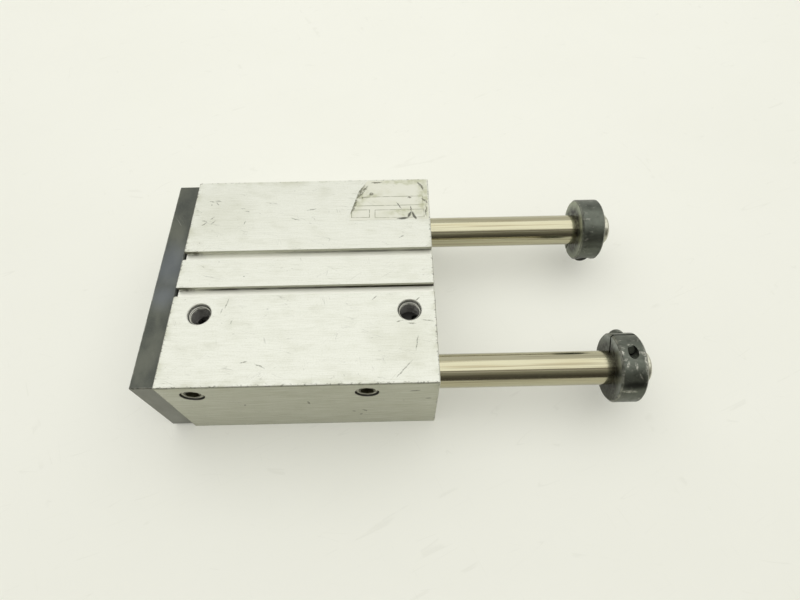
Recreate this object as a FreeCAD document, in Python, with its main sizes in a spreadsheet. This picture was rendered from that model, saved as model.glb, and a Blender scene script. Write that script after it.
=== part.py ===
import FreeCAD, Part
import os
import re

import Sketcher
from FreeCAD import Vector

# Guided pneumatic cylinder: an extruded block holds one double-acting cylinder between two guide rods.
# A tool plate on the front ties the piston rod to both guide rods, and a clamp collar on the tail of
# each guide rod sets how far the plate can go out.
#
# Frame, in millimetres: the origin is the middle of the block's underside, +X points from the tool plate
# to the collars, +Z up. Everything is drawn with the plate drawn in, against the block.

SIZES = [
    # stroke and fits
    ("stroke", 100, "travel of the tool plate"),
    ("end_clearance", 0.3, "piston to bumper at each end, collar to block at full stroke"),
    ("running_gap", 0.04, "radial play of each sliding fit"),
    ("clear_gap", 0.3, "radial room round what passes through without touching"),
    ("thread_run_out", 3.0, "hole left beyond the end of a screw"),
    # block
    ("body_width", 142, "across the two guide rods"),
    ("cylinder_bore", 50, "bore of the cylinder"),
    ("bore_wall", 7.25, "wall over the bore and under it"),
    ("edge_break", 0.5, "bevel on the long edges and ends of the block"),
    ("seat_step", 1.0, "how much wider than the bore the end seats are, on the radius"),
    ("cap_nose", 2.7, "step in the bore to the inner face of the rear cap"),
    ("slot_mouth", 6.0, "mouth of a sensor slot"),
    ("slot_lip", 1.9, "depth of the lips over a sensor slot"),
    ("slot_floor", 7.6, "width of a sensor slot below its lips"),
    ("slot_depth", 4.0, "depth of a sensor slot"),
    ("slot_offset", 12.7, "middle of the block to the middle of a sensor slot"),
    # ports, nominal thread G 1/4
    ("port_diameter", 13.16, "outer diameter of the port thread"),
    ("port_depth", 14.0, "depth of a top port"),
    ("port_bevel", 0.4, "bevel round the mouth of a top port"),
    ("port_outward", 2.4, "side of the bore to the axis of the top ports"),
    ("port_from_front", 16.7, "front end to the first ports"),
    ("port_from_rear", 14.8, "rear end to the rear top port"),
    ("side_port_depth", 10.0, "depth of a side port"),
    ("side_port_drop", 11.9, "top of the block down to the side ports"),
    ("side_port_from_rear", 38.8, "rear end to the rear side port"),
    ("passage_diameter", 4.0, "air passages"),
    ("passage_inward", 2.0, "port axis to passage axis, towards the cylinder"),
    ("passage_endward", 3.1, "port axis to passage axis, towards the block's end"),
    ("plug_length", 7.0, "length of a side port plug"),
    ("plug_recess", 0.9, "side face down to its plug"),
    ("plug_bevel", 0.8, "bevel on both ends of a plug"),
    ("plug_socket", 7.0, "hexagon in a side port plug, across flats"),
    ("plug_socket_depth", 4.5, "depth of that hexagon"),
    ("stopper_diameter", 6.0, "stopper that closes the rear gallery"),
    ("stopper_length", 5.0, "length of the stopper"),
    ("stopper_recess", 0.5, "rear face down to the stopper"),
    ("stopper_wall", 1.5, "rim round the hollow in the stopper"),
    ("stopper_hollow", 1.5, "depth of that hollow"),
    # block mounting holes
    ("mount_thread", 8.0, "thread of the mounting holes under the block"),
    ("mount_depth", 16.0, "their depth"),
    ("mount_along", 80.0, "their spacing along the stroke"),
    ("mount_across", 62.0, "their spacing across the block"),
    # guide rods and their bearings
    ("rod_edge", 19.75, "axis of a guide rod to the side of the block"),
    ("rod_diameter", 20, "guide rod"),
    ("rod_overhang", 6.7, "guide rod beyond its collar"),
    ("rod_end_bevel", 1.2, "bevel on the tail of a guide rod"),
    ("bush_wall", 3.0, "wall of a guide bush"),
    ("bush_length", 25, "length of a guide bush"),
    ("bush_lead_in", 0.5, "bevel at the mouths of a guide bush"),
    ("rod_relief", 1.2, "radial room round a guide rod between its bushes"),
    ("wiper_wall", 4.0, "radial size of a guide wiper"),
    ("guide_wiper_length", 4.0, "length of a guide wiper"),
    ("guide_wiper_recess", 0.5, "end of the block down to a guide wiper"),
    # front gland and rear cap
    ("ring_recess", 2.1, "end of the block to a retaining ring"),
    ("ring_thickness", 2.0, "retaining ring"),
    ("ring_bite", 1.2, "depth of a retaining ring in its groove"),
    ("ring_width", 4.0, "radial width of a retaining ring"),
    ("ring_lug", 2.7, "radius of a retaining ring's lug"),
    ("ring_hole", 2.5, "plier hole in a lug"),
    ("ring_gap", 5.0, "open gap of a retaining ring"),
    ("groove_play", 0.1, "groove wider than its ring"),
    ("flange_length", 5.6, "sealing flange of the gland and of the cap"),
    ("nose_room", 4.0, "radial room for air round the noses of gland and cap"),
    ("cord_section", 2.4, "thickness of the static O-rings"),
    ("cord_groove", 3.0, "width of their grooves"),
    ("cord_groove_start", 1.3, "outer face to their grooves"),
    ("nose_rim", 2.0, "wall of a nose outside its bumper ring"),
    ("bumper_width", 3.5, "radial width of a bumper ring"),
    ("bumper_depth", 1.2, "depth of a bumper in its groove"),
    ("bumper_proud", 1.0, "how far a bumper stands out"),
    ("cap_dish", 24, "dish in the outer face of the rear cap"),
    ("cap_dish_depth", 1.5, "its depth"),
    ("wiper_length", 3.5, "rod wiper"),
    ("seal_web", 1.0, "web between rod wiper and rod seal"),
    ("rod_seal_length", 4.0, "rod seal"),
    ("rod_seal_wall", 4.0, "radial size of rod seal and rod wiper"),
    ("rod_bush_length", 4.4, "rod bush"),
    ("rod_bush_wall", 1.5, "wall of the rod bush"),
    ("lip_edge", 1.2, "thickness of a wiper's lip at its edge"),
    ("lip_free", 1.3, "length of a wiper's lip on the rod"),
    ("lip_slope", 1.0, "length over which it leaves the rod"),
    ("lip_relief", 0.8, "how far a wiper's heel stands back from the rod"),
    ("heel_step", 1.6, "radial step from a wiper's lip up to its heel"),
    ("cup_notch", 1.6, "depth and width of the notch in a lip seal"),
    # piston and piston rod
    ("piston_length", 17.0, "piston"),
    ("piston_bevel", 0.8, "bevel on the piston's ends"),
    ("piston_seal_wall", 5.5, "radial size of a piston seal"),
    ("piston_seal_length", 3.5, "length of a piston seal"),
    ("piston_seal_start", 1.8, "piston's end to its seal"),
    ("wear_ring_wall", 2.5, "wear ring"),
    ("wear_ring_length", 4.0, "wear ring and magnet"),
    ("magnet_wall", 5.0, "magnet ring under the wear ring"),
    ("piston_rod_diameter", 20, "piston rod"),
    ("spigot_diameter", 15, "piston rod's spigot in the piston"),
    ("spigot_length", 5.0, "its length"),
    ("rod_seat", 1.5, "depth of a rod's seat in the plate or the piston"),
    ("rod_bevel", 0.6, "bevel on the rods' seated ends"),
    ("small_cord_section", 1.3, "O-ring on the spigot"),
    ("small_cord_groove", 2.0, "width of its groove"),
    ("piston_screw_thread", 8.0, "screw that holds the piston"),
    ("piston_screw_head", 13.0, "its head"),
    ("piston_screw_head_height", 5.0, "height of its head"),
    ("piston_screw_length", 18.0, "length under its head"),
    ("piston_screw_socket", 5.0, "its hexagon, across flats"),
    # tool plate
    ("plate_thickness", 13.0, "tool plate"),
    ("plate_side_step", 1.0, "side of the block to the side of the tool plate"),
    ("plate_top_step", 2.35, "top of the block to the top of the tool plate, and the same below"),
    ("plate_bevel", 0.5, "bevel on the edges of the tool plate"),
    ("plate_gap", 0.4, "tool plate to block when drawn in"),
    ("tool_thread", 8.0, "tapped tool holes in the plate"),
    ("tool_across", 60.0, "their spacing across"),
    ("tool_up", 40.0, "their spacing up and down"),
    ("plate_screw_thread", 10.0, "screws that hold the rods to the plate"),
    ("plate_screw_head", 16.0, "their heads"),
    ("plate_screw_head_height", 6.0, "height of their heads"),
    ("plate_screw_length", 22.0, "length under their heads"),
    ("plate_screw_socket", 7.0, "their hexagon, across flats"),
    ("head_room", 0.6, "room round and over a sunk head"),
    # all socket screws
    ("socket_share", 0.6, "depth of a hexagon as a share of its head"),
    ("head_bevel", 0.5, "bevel on the rim of a head"),
    ("point_bevel", 0.8, "bevel on the point of a screw"),
    # stop collars
    ("collar_wall", 10.2, "radial thickness of a collar"),
    ("collar_width", 15.0, "width of a collar"),
    ("collar_bevel", 1.1, "bevel on a collar's rims"),
    ("near_lag", 1.5, "how much further back the near guide rod and its collar end"),
    ("slit_width", 1.5, "slit of a collar"),
    ("near_slit_angle", 46, "slit of the near collar, degrees up from +Y"),
    ("far_slit_angle", -98, "slit of the far collar, degrees up from +Y"),
    ("clamp_web", 1.8, "guide rod to clamp screw"),
    ("clamp_head_seat", 5.5, "slit to the seat of the clamp screw's head"),
    ("clamp_thread", 6.0, "clamp screw"),
    ("clamp_head", 10.0, "its head"),
    ("clamp_head_height", 6.0, "height of its head"),
    ("clamp_length", 16.0, "length under its head"),
    ("clamp_socket", 5.0, "its hexagon, across flats"),
]
ALIASES = [name for name, _, _ in SIZES]
FLAT = 0.001  # mm, an edge shorter than this along X lies in an end face
LEAST_CUT = 0.01  # mm3, a cut that takes less than this has missed

# Places and sizes that follow from the sheet. Names ending in _in are distances into the block from its
# front end, and names ending in _x, _y or _z are places in the frame.
PLACES = {
    "body_height": "cylinder_bore + 2 * bore_wall",
    "port_offset": "cylinder_bore / 2 + port_outward",
    "seat_radius": "cylinder_bore / 2 + seat_step",
    "nose_radius": "cylinder_bore / 2 - nose_room",
    "bumper_rim": "nose_radius - nose_rim",
    "bumper_hole": "bumper_rim - bumper_width",
    "bush_radius": "rod_diameter / 2 + bush_wall",
    "plate_width": "body_width - 2 * plate_side_step",
    "plate_height": "body_height - 2 * plate_top_step",
    "collar_rim": "rod_diameter / 2 + collar_wall",
    "clamp_offset": "rod_diameter / 2 + clamp_web + clamp_thread / 2",
    "ring_inner": "ring_recess + ring_thickness",
    "gland_length": "wiper_length + seal_web + rod_seal_length + rod_bush_length",
    "cap_length": "flange_length + cap_nose",
    "stroke_start_in": "ring_inner + gland_length + bumper_proud + end_clearance",
    "piston_in": "stroke_start_in + stroke",
    "cap_face_in": "piston_in + piston_length + end_clearance + bumper_proud",
    "rear_step_in": "cap_face_in + cap_nose",
    "body_length": "rear_step_in + flange_length + ring_inner",
    "front_x": "-body_length / 2",
    "rear_x": "body_length / 2",
    "axis_z": "body_height / 2",
    "rod_y": "body_width / 2 - rod_edge",
    "port_z": "body_height - side_port_drop",
    "rear_port_in": "body_length - port_from_rear",
    "rear_side_port_in": "body_length - side_port_from_rear",
    "passage_y": "port_offset - passage_inward",
    "plate_back_x": "front_x - plate_gap",
    "plate_front_x": "plate_back_x - plate_thickness",
    "rod_front_x": "plate_back_x - rod_seat",
    "piston_x": "front_x + piston_in",
    "far_collar_x": "rear_x + stroke + end_clearance",
    "near_collar_x": "far_collar_x + near_lag",
    "far_rod_length": "far_collar_x + collar_width + rod_overhang - rod_front_x",
    "near_rod_length": "far_rod_length + near_lag",
    "piston_rod_length": "piston_x + rod_seat - rod_front_x",
    "plate_screw_hole": "plate_screw_length - plate_screw_web + thread_run_out",
    "plate_screw_web": "plate_thickness - rod_seat - plate_sink",
    "plate_sink": "plate_screw_head_height + head_room",
    "piston_sink": "piston_screw_head_height + head_room",
    "piston_screw_web": "piston_length - rod_seat - spigot_length - piston_sink",
    "piston_screw_hole": "piston_screw_length - piston_screw_web + thread_run_out",
    "wear_start": "(piston_length - wear_ring_length) / 2",
    "wear_floor": "sliding_rim - wear_ring_wall",
    "piston_radius": "cylinder_bore / 2 - clear_gap",
    "rod_seal_seat": "piston_rod_diameter / 2 + rod_seal_wall",
    "rod_bush_seat": "piston_rod_diameter / 2 + rod_bush_wall",
    "guide_wiper_seat": "rod_diameter / 2 + wiper_wall",
    "bush_in": "guide_wiper_recess + guide_wiper_length",
    "rear_bush_in": "body_length - bush_in - bush_length",
    "ring_rim": "seat_radius + ring_bite",
    "ring_inside": "ring_rim - ring_width",
    "sliding_rim": "cylinder_bore / 2 - running_gap",
}

doc = FreeCAD.newDocument("guided_cylinder")
sheet = doc.addObject("Spreadsheet::Sheet", "dims")
for row, (size_name, size, meaning) in enumerate(SIZES, start=1):
    sheet.set(f"A{row}", size_name)
    sheet.set(f"B{row}", str(size))
    sheet.set(f"C{row}", meaning)
    sheet.setAlias(f"B{row}", size_name)
doc.recompute()

nodes = []


def bound(formula):
    """Turn a formula of size and place names into an expression on the sheet."""
    def cell(match):
        word = match.group()
        if word in PLACES:
            return "(" + bound(PLACES[word]) + ")"
        return "dims." + word if word in ALIASES else word
    return re.sub(r"[a-z]\w*", cell, formula)


def new_body(name, x="0", y="0", z="axis_z", axis="1; 0; 0", angle="0"):
    """An empty body whose Placement is bound to the sheet."""
    body = doc.addObject("PartDesign::Body", name)
    body.Label = name
    place = f"placement(vector({x}; {y}; {z}); rotation(vector({axis}); {angle}))"
    body.setExpression("Placement", bound(place))
    return body


def new_sketch(body, name, role, x="0", y="0", z="0"):
    """A sketch on one of the body's own planes, moved by x, y and z in the sketch's own axes."""
    sketch = body.newObject("Sketcher::SketchObject", name)
    plane = next(feature for feature in body.Origin.OriginFeatures if feature.Role == role)
    sketch.AttachmentSupport = [(plane, "")]
    sketch.MapMode = "FlatFace"
    for axis, formula in (("x", x), ("y", y), ("z", z)):
        sketch.setExpression(f"AttachmentOffset.Base.{axis}", bound(formula))
    return sketch


def measure(sketch, formula):
    return float(sketch.evalExpression(bound(formula)))


def constrain(sketch, kind, formula, *where):
    """Add one dimension and bind it to the sheet."""
    index = sketch.addConstraint(Sketcher.Constraint(kind, *where, measure(sketch, formula)))
    sketch.setExpression(f"Constraints[{index}]", bound(formula))


def outline(sketch, corners):
    """A closed outline of straight lines through corners given as pairs of formulas."""
    points = [Vector(measure(sketch, u), measure(sketch, v), 0) for u, v in corners]
    first = sketch.GeometryCount
    sides = zip(points, points[1:] + points[:1])
    sketch.addGeometry([Part.LineSegment(start, end) for start, end in sides], False)
    for corner, (u, v) in enumerate(corners):
        line = first + corner
        before = first + (corner - 1) % len(corners)
        sketch.addConstraint(Sketcher.Constraint("Coincident", before, 2, line, 1))
        constrain(sketch, "DistanceX", u, -1, 1, line, 1)
        constrain(sketch, "DistanceY", v, -1, 1, line, 1)


def circle(sketch, u, v, radius):
    centre = Vector(measure(sketch, u), measure(sketch, v), 0)
    ring = sketch.addGeometry(Part.Circle(centre, Vector(0, 0, 1), measure(sketch, radius)), False)
    constrain(sketch, "DistanceX", u, -1, 1, ring, 3)
    constrain(sketch, "DistanceY", v, -1, 1, ring, 3)
    constrain(sketch, "Radius", radius, ring)


def add_feature(body, kind, name, sketch):
    feature = body.newObject(f"PartDesign::{kind}", name)
    feature.Profile = sketch
    sketch.Visibility = False
    return feature


def extrude(body, kind, name, sketch, length, reverse=False):
    """Pad or Pocket of a sketch by a bound length."""
    feature = add_feature(body, kind, name, sketch)
    feature.Reversed = reverse
    feature.setExpression("Length", bound(length))
    return feature


def spin(body, kind, name, corners, role="XY_Plane", about="H_Axis", **offset):
    """Revolution or Groove of an outline about one axis of its sketch."""
    sketch = new_sketch(body, name + "_profile", role, **offset)
    outline(sketch, corners)
    feature = add_feature(body, kind, name, sketch)
    feature.ReferenceAxis = (sketch, [about])
    feature.Angle = 360
    return feature


def turned(name, corners, **place):
    """A body turned about its own X axis from an outline of (distance along, radius)."""
    body = new_body(name, **place)
    spin(body, "Revolution", "turned_" + name, corners)
    return body


def hexagon(body, name, across_flats, depth):
    """A hexagon socket sunk along +X into the face at the body's origin."""
    sketch = new_sketch(body, "hexagon_" + name, "YZ_Plane")
    point, flat = f"{across_flats} / sqrt(3)", f"{across_flats} / 2"
    half = f"{across_flats} / sqrt(12)"
    outline(sketch, [(point, "0"), (half, flat), ("-" + half, flat),
                     ("-" + point, "0"), ("-" + half, "-" + flat), (half, "-" + flat)])
    extrude(body, "Pocket", "socket_" + name, sketch, depth, reverse=True)


def screw(name, kind, length, **place):
    """A hexagon socket screw, its head's outer face at the origin, its shank along +X."""
    head, height, thread = f"{kind}_head / 2", f"{kind}_head_height", f"{kind}_thread / 2"
    end = f"{height} + {length}"
    body = turned(name, [
        ("0", "0"), ("0", f"{head} - head_bevel"), ("head_bevel", head), (height, head), (height, thread),
        (f"{end} - point_bevel", thread), (end, f"{thread} - point_bevel"), (end, "0"),
    ], **place)
    hexagon(body, name, f"{kind}_socket", f"{height} * socket_share")
    return body


def group(name, bodies):
    """Identical fasteners kept as one node of separate solids."""
    compound = doc.addObject("Part::Compound", name)
    compound.Label = name
    compound.Links = bodies
    nodes.append(compound)


def o_ring(name, section, middle_radius, **place):
    """An O-ring round the X axis."""
    body = new_body(name, **place)
    sketch = new_sketch(body, name + "_profile", "XY_Plane")
    circle(sketch, "0", middle_radius, f"{section} / 2")
    ring = add_feature(body, "Revolution", "turned_" + name, sketch)
    ring.ReferenceAxis = (sketch, ["H_Axis"])
    ring.Angle = 360
    nodes.append(body)


def lip_seal(name, inner, outer, length, mouth, **place):
    """A U-shaped ring seal whose notch opens at one end, mouth 'front' or 'rear'."""
    middle = f"({inner} + {outer}) / 2"
    notch = [("0", f"{middle} - cup_notch / 2"), ("cup_notch", middle), ("0", f"{middle} + cup_notch / 2")]
    corners = [("0", inner)] + notch + [("0", outer), (length, outer), (length, inner)]
    if mouth == "rear":
        corners = [(f"{length} - ({along})", radius) for along, radius in reversed(corners)]
    nodes.append(turned(name, corners, **place))


def wiper(name, rod, wall, length, lip, **place):
    """A scraper ring: a full-width heel and one lip on the rod, lip 'front' or 'rear'."""
    inner, outer = f"{rod} / 2 + running_gap", f"{rod} / 2 + {wall}"
    relief = f"{inner} + lip_relief"
    corners = [("0", inner), ("0", f"{inner} + lip_edge"), ("lip_free", f"{outer} - heel_step"),
               ("lip_free", outer), (length, outer), (length, relief),
               ("lip_free + lip_slope", relief), ("lip_free", inner)]
    if lip == "rear":
        corners = [(f"{length} - ({along})", radius) for along, radius in reversed(corners)]
    nodes.append(turned(name, corners, **place))


# ---------------------------------------------------------------- block

def block_outline():
    """Section of the extrusion: bevelled corners and two undercut sensor slots along the top."""
    side, top, bevel = "body_width / 2", "body_height", "edge_break"
    steps = [("slot_mouth", "0"), ("slot_mouth", "slot_lip"), ("slot_floor", "slot_lip"),
             ("slot_floor", "slot_depth")]
    corners = [(f"-{side} + {bevel}", "0"), (f"{side} - {bevel}", "0"), (side, bevel),
               (side, f"{top} - {bevel}"), (f"{side} - {bevel}", top)]
    for middle in ("slot_offset", "-slot_offset"):
        corners += [(f"{middle} + {width} / 2", f"{top} - {down}") for width, down in steps]
        corners += [(f"{middle} - {width} / 2", f"{top} - {down}") for width, down in reversed(steps)]
    return corners + [(f"-{side} + {bevel}", top), (f"-{side}", f"{top} - {bevel}"), (f"-{side}", bevel)]


def break_edges(body, feature, size, ends_only=False):
    """Bevel all edges of an extrusion along X, or only those round its two end faces."""
    doc.recompute()
    edges = [f"Edge{number}" for number, edge in enumerate(feature.Shape.Edges, start=1)
             if not ends_only or edge.BoundBox.XLength < FLAT]
    bevel = body.newObject("PartDesign::Chamfer", "broken_edges")
    bevel.Base = (feature, edges)
    bevel.setExpression("Size", bound(size))


def drill_pattern(body, name, sketch, thread, depth=None):
    """Drilled holes on the circles of a sketch, right through unless a depth is given."""
    doc.recompute()
    hole = add_feature(body, "Hole", name, sketch)
    hole.ThreadType = "None"
    hole.setExpression("Diameter", bound(thread))
    if depth:
        hole.DepthType = "Dimension"
        hole.DrillPoint = "Angled"
        hole.setExpression("Depth", bound(depth))
    else:
        hole.DepthType = "ThroughAll"
    return hole


def build_block():
    body = new_body("cylinder_body", x="front_x", z="0")
    sketch = new_sketch(body, "section", "YZ_Plane")
    outline(sketch, block_outline())
    extrusion = extrude(body, "Pad", "extrusion", sketch, "body_length")
    break_edges(body, extrusion, "edge_break", ends_only=True)

    spin(body, "Groove", "stepped_cylinder_bore", [
        ("0", "0"), ("0", "seat_radius"),
        ("ring_recess - groove_play", "seat_radius"), ("ring_recess - groove_play", "ring_rim"),
        ("ring_inner", "ring_rim"), ("ring_inner", "seat_radius"),
        ("ring_inner + flange_length", "seat_radius"), ("ring_inner + flange_length", "cylinder_bore / 2"),
        ("rear_step_in", "cylinder_bore / 2"), ("rear_step_in", "seat_radius"),
        ("body_length - ring_inner", "seat_radius"), ("body_length - ring_inner", "ring_rim"),
        ("body_length - ring_recess + groove_play", "ring_rim"),
        ("body_length - ring_recess + groove_play", "seat_radius"),
        ("body_length", "seat_radius"), ("body_length", "0"),
    ], z="axis_z")
    relief = "rod_diameter / 2 + rod_relief"
    for name, side in (("near", "-rod_y"), ("far", "rod_y")):
        spin(body, "Groove", name + "_guide_bore", [
            ("0", "0"), ("0", "guide_wiper_seat"), ("bush_in", "guide_wiper_seat"),
            ("bush_in", "bush_radius"), ("bush_in + bush_length", "bush_radius"),
            ("bush_in + bush_length", relief), ("rear_bush_in", relief), ("rear_bush_in", "bush_radius"),
            ("body_length - bush_in", "bush_radius"), ("body_length - bush_in", "guide_wiper_seat"),
            ("body_length", "guide_wiper_seat"), ("body_length", "0"),
        ], y=side, z="axis_z")

    bore, bevel_out = "port_diameter / 2", "port_diameter / 2 + port_bevel"
    for name, along, shift in (("front", "port_from_front", "-"), ("rear", "rear_port_in", "+")):
        spin(body, "Groove", name + "_top_port", [
            ("0", "body_height - port_depth"), (bore, "body_height - port_depth"),
            (bore, "body_height - port_bevel"), (bevel_out, "body_height"), ("0", "body_height"),
        ], role="XZ_Plane", about="V_Axis", x=along, z="port_offset")
        spin(body, "Groove", name + "_passage", [
            ("0", "axis_z"), ("passage_diameter / 2", "axis_z"),
            ("passage_diameter / 2", "body_height - port_depth + groove_play"),
            ("0", "body_height - port_depth + groove_play"),
        ], role="XZ_Plane", about="V_Axis", x=f"{along} {shift} passage_endward", z="passage_y")
    for name, along in (("front", "port_from_front"), ("rear", "rear_side_port_in")):
        face = "-body_width / 2"
        spin(body, "Groove", name + "_side_port", [
            ("0", face), (bore, face), (bore, f"{face} + side_port_depth"),
            ("passage_diameter / 2", f"{face} + side_port_depth"),
            ("passage_diameter / 2", "-port_offset"), ("0", "-port_offset"),
        ], about="V_Axis", x=along, z="port_z")
    spin(body, "Groove", "rear_gallery", [
        ("rear_side_port_in", "0"), ("rear_side_port_in", "passage_diameter / 2"),
        ("body_length - stopper_recess - stopper_length", "passage_diameter / 2"),
        ("body_length - stopper_recess - stopper_length", "stopper_diameter / 2"),
        ("body_length", "stopper_diameter / 2"), ("body_length", "0"),
    ], y="-port_offset", z="port_z")

    sketch = new_sketch(body, "mounting_pattern", "XY_Plane", x="body_length / 2")
    for along in ("-mount_along / 2", "mount_along / 2"):
        for across in ("-mount_across / 2", "mount_across / 2"):
            circle(sketch, along, across, "mount_thread / 2")
    drill_pattern(body, "mounting_holes", sketch, "mount_thread", "mount_depth").Reversed = True
    nodes.append(body)


def build_block_fittings():
    """Plugs in the side ports and the stopper in the drilled gallery."""
    plugs = []
    for name, along in (("front", "port_from_front"), ("rear", "rear_side_port_in")):
        plug = turned(f"{name}_plug", [
            ("0", "0"), ("0", "port_diameter / 2 - plug_bevel"), ("plug_bevel", "port_diameter / 2"),
            ("plug_length - plug_bevel", "port_diameter / 2"),
            ("plug_length", "port_diameter / 2 - plug_bevel"), ("plug_length", "0"),
        ], x=f"front_x + {along}", y="plug_recess - body_width / 2", z="port_z", axis="1; 1; 1", angle="120")
        hexagon(plug, f"{name}_plug", "plug_socket", "plug_socket_depth")
        plugs.append(plug)
    group("side_port_plugs", plugs)
    nodes.append(turned("gallery_stopper", [
        ("0", "0"), ("0", "stopper_diameter / 2"), ("stopper_length", "stopper_diameter / 2"),
        ("stopper_length", "stopper_diameter / 2 - stopper_wall"), ("stopper_length - stopper_hollow", "0"),
    ], x="rear_x - stopper_recess - stopper_length", y="-port_offset", z="port_z"))


def build_guides():
    """Two bushes and two wipers for each guide rod."""
    inner, outer = "rod_diameter / 2 + running_gap", "bush_radius"
    for side, y in (("near", "-rod_y"), ("far", "rod_y")):
        for end, start in (("front", "front_x + bush_in"), ("rear", "front_x + rear_bush_in")):
            nodes.append(turned(f"guide_bush_{end}_{side}", [
                ("0", f"{inner} + bush_lead_in"), ("bush_lead_in", inner),
                ("bush_length - bush_lead_in", inner), ("bush_length", f"{inner} + bush_lead_in"),
                ("bush_length", outer), ("0", outer),
            ], x=start, y=y))
        for end, start in (("front", "front_x + guide_wiper_recess"), ("rear", "rear_x - bush_in")):
            wiper(f"guide_wiper_{end}_{side}", "rod_diameter", "wiper_wall", "guide_wiper_length", end,
                  x=start, y=y)


# ---------------------------------------------------------------- gland and cap

def cord_groove(outer):
    """Corners of the static O-ring's groove in a flange that starts at zero."""
    floor, end = f"{outer} - cord_section", "cord_groove_start + cord_groove"
    return [("cord_groove_start", outer), ("cord_groove_start", floor), (end, floor), (end, outer)]


def retaining_ring(name, x):
    """An internal retaining ring with two plier lugs, open at the bottom."""
    body = new_body(name, x=x)
    blank = new_sketch(body, name + "_ring", "YZ_Plane")
    circle(blank, "0", "0", "ring_rim")
    circle(blank, "0", "0", "ring_inside")
    extrude(body, "Pad", name + "_blank", blank, "ring_thickness")
    lugs = new_sketch(body, name + "_lugs", "YZ_Plane")
    holes = new_sketch(body, name + "_holes", "YZ_Plane")
    for across in ("ring_gap / 2 + ring_lug", "-ring_gap / 2 - ring_lug"):
        circle(lugs, across, "-ring_inside", "ring_lug")
        circle(holes, across, "-ring_inside", "ring_hole / 2")
    extrude(body, "Pad", name + "_lug_pads", lugs, "ring_thickness")
    gap = new_sketch(body, name + "_gap", "YZ_Plane")
    top, bottom = "ring_lug - ring_inside", "-ring_rim - ring_lug"
    outline(gap, [("-ring_gap / 2", bottom), ("ring_gap / 2", bottom), ("ring_gap / 2", top),
                  ("-ring_gap / 2", top)])
    extrude(body, "Pocket", name + "_opening", gap, "ring_thickness", reverse=True)
    extrude(body, "Pocket", name + "_plier_holes", holes, "ring_thickness", reverse=True)
    nodes.append(body)


def bumper(name, x):
    nodes.append(turned(name, [
        ("0", "bumper_hole"), ("0", "bumper_rim"), ("bumper_depth + bumper_proud", "bumper_rim"),
        ("bumper_depth + bumper_proud", "bumper_hole"),
    ], x=x))


def build_gland():
    """Front gland with its seals, bush, bumper and retaining ring."""
    start = "front_x + ring_inner"
    seal_start = "wiper_length + seal_web"
    bush_start = "gland_length - rod_bush_length"
    web = "piston_rod_diameter / 2 + clear_gap"
    groove = "gland_length - bumper_depth"
    nodes.append(turned("front_gland", [
        ("0", "rod_seal_seat"), ("0", "seat_radius"), *cord_groove("seat_radius"),
        ("flange_length", "seat_radius"), ("flange_length", "nose_radius"),
        ("gland_length", "nose_radius"), ("gland_length", "bumper_rim"), (groove, "bumper_rim"),
        (groove, "bumper_hole"), ("gland_length", "bumper_hole"), ("gland_length", "rod_bush_seat"),
        (bush_start, "rod_bush_seat"), (bush_start, "rod_seal_seat"), (seal_start, "rod_seal_seat"),
        (seal_start, web), ("wiper_length", web), ("wiper_length", "rod_seal_seat"),
    ], x=start))
    inner = "piston_rod_diameter / 2 + running_gap"
    wiper("rod_wiper", "piston_rod_diameter", "rod_seal_wall", "wiper_length", "front", x=start)
    lip_seal("rod_seal", inner, "rod_seal_seat", "rod_seal_length", "rear", x=f"{start} + {seal_start}")
    nodes.append(turned("rod_bush", [
        ("0", inner), ("0", "rod_bush_seat"), ("rod_bush_length", "rod_bush_seat"),
        ("rod_bush_length", inner),
    ], x=f"{start} + {bush_start}"))
    o_ring("gland_o_ring", "cord_section", "seat_radius - cord_section / 2",
           x=f"{start} + cord_groove_start + cord_groove / 2")
    bumper("front_bumper", f"{start} + {groove}")
    retaining_ring("gland_retaining_ring", "front_x + ring_recess")


def build_cap():
    """Rear cap with its O-ring, bumper and retaining ring."""
    start = "front_x + cap_face_in"
    shifted = [(f"cap_length - ({along})", radius) for along, radius in reversed(cord_groove("seat_radius"))]
    nodes.append(turned("rear_cap", [
        ("0", "0"), ("0", "bumper_hole"), ("bumper_depth", "bumper_hole"), ("bumper_depth", "bumper_rim"),
        ("0", "bumper_rim"), ("0", "nose_radius"), ("cap_nose", "nose_radius"),
        ("cap_nose", "seat_radius"), *shifted,
        ("cap_length", "seat_radius"), ("cap_length", "cap_dish / 2"),
        ("cap_length - cap_dish_depth", "cap_dish / 2 - cap_dish_depth"),
        ("cap_length - cap_dish_depth", "0"),
    ], x=start))
    o_ring("cap_o_ring", "cord_section", "seat_radius - cord_section / 2",
           x=f"{start} + cap_length - cord_groove_start - cord_groove / 2")
    bumper("rear_bumper", f"{start} - bumper_proud")
    retaining_ring("cap_retaining_ring", "rear_x - ring_inner")


# ---------------------------------------------------------------- moving parts

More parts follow.
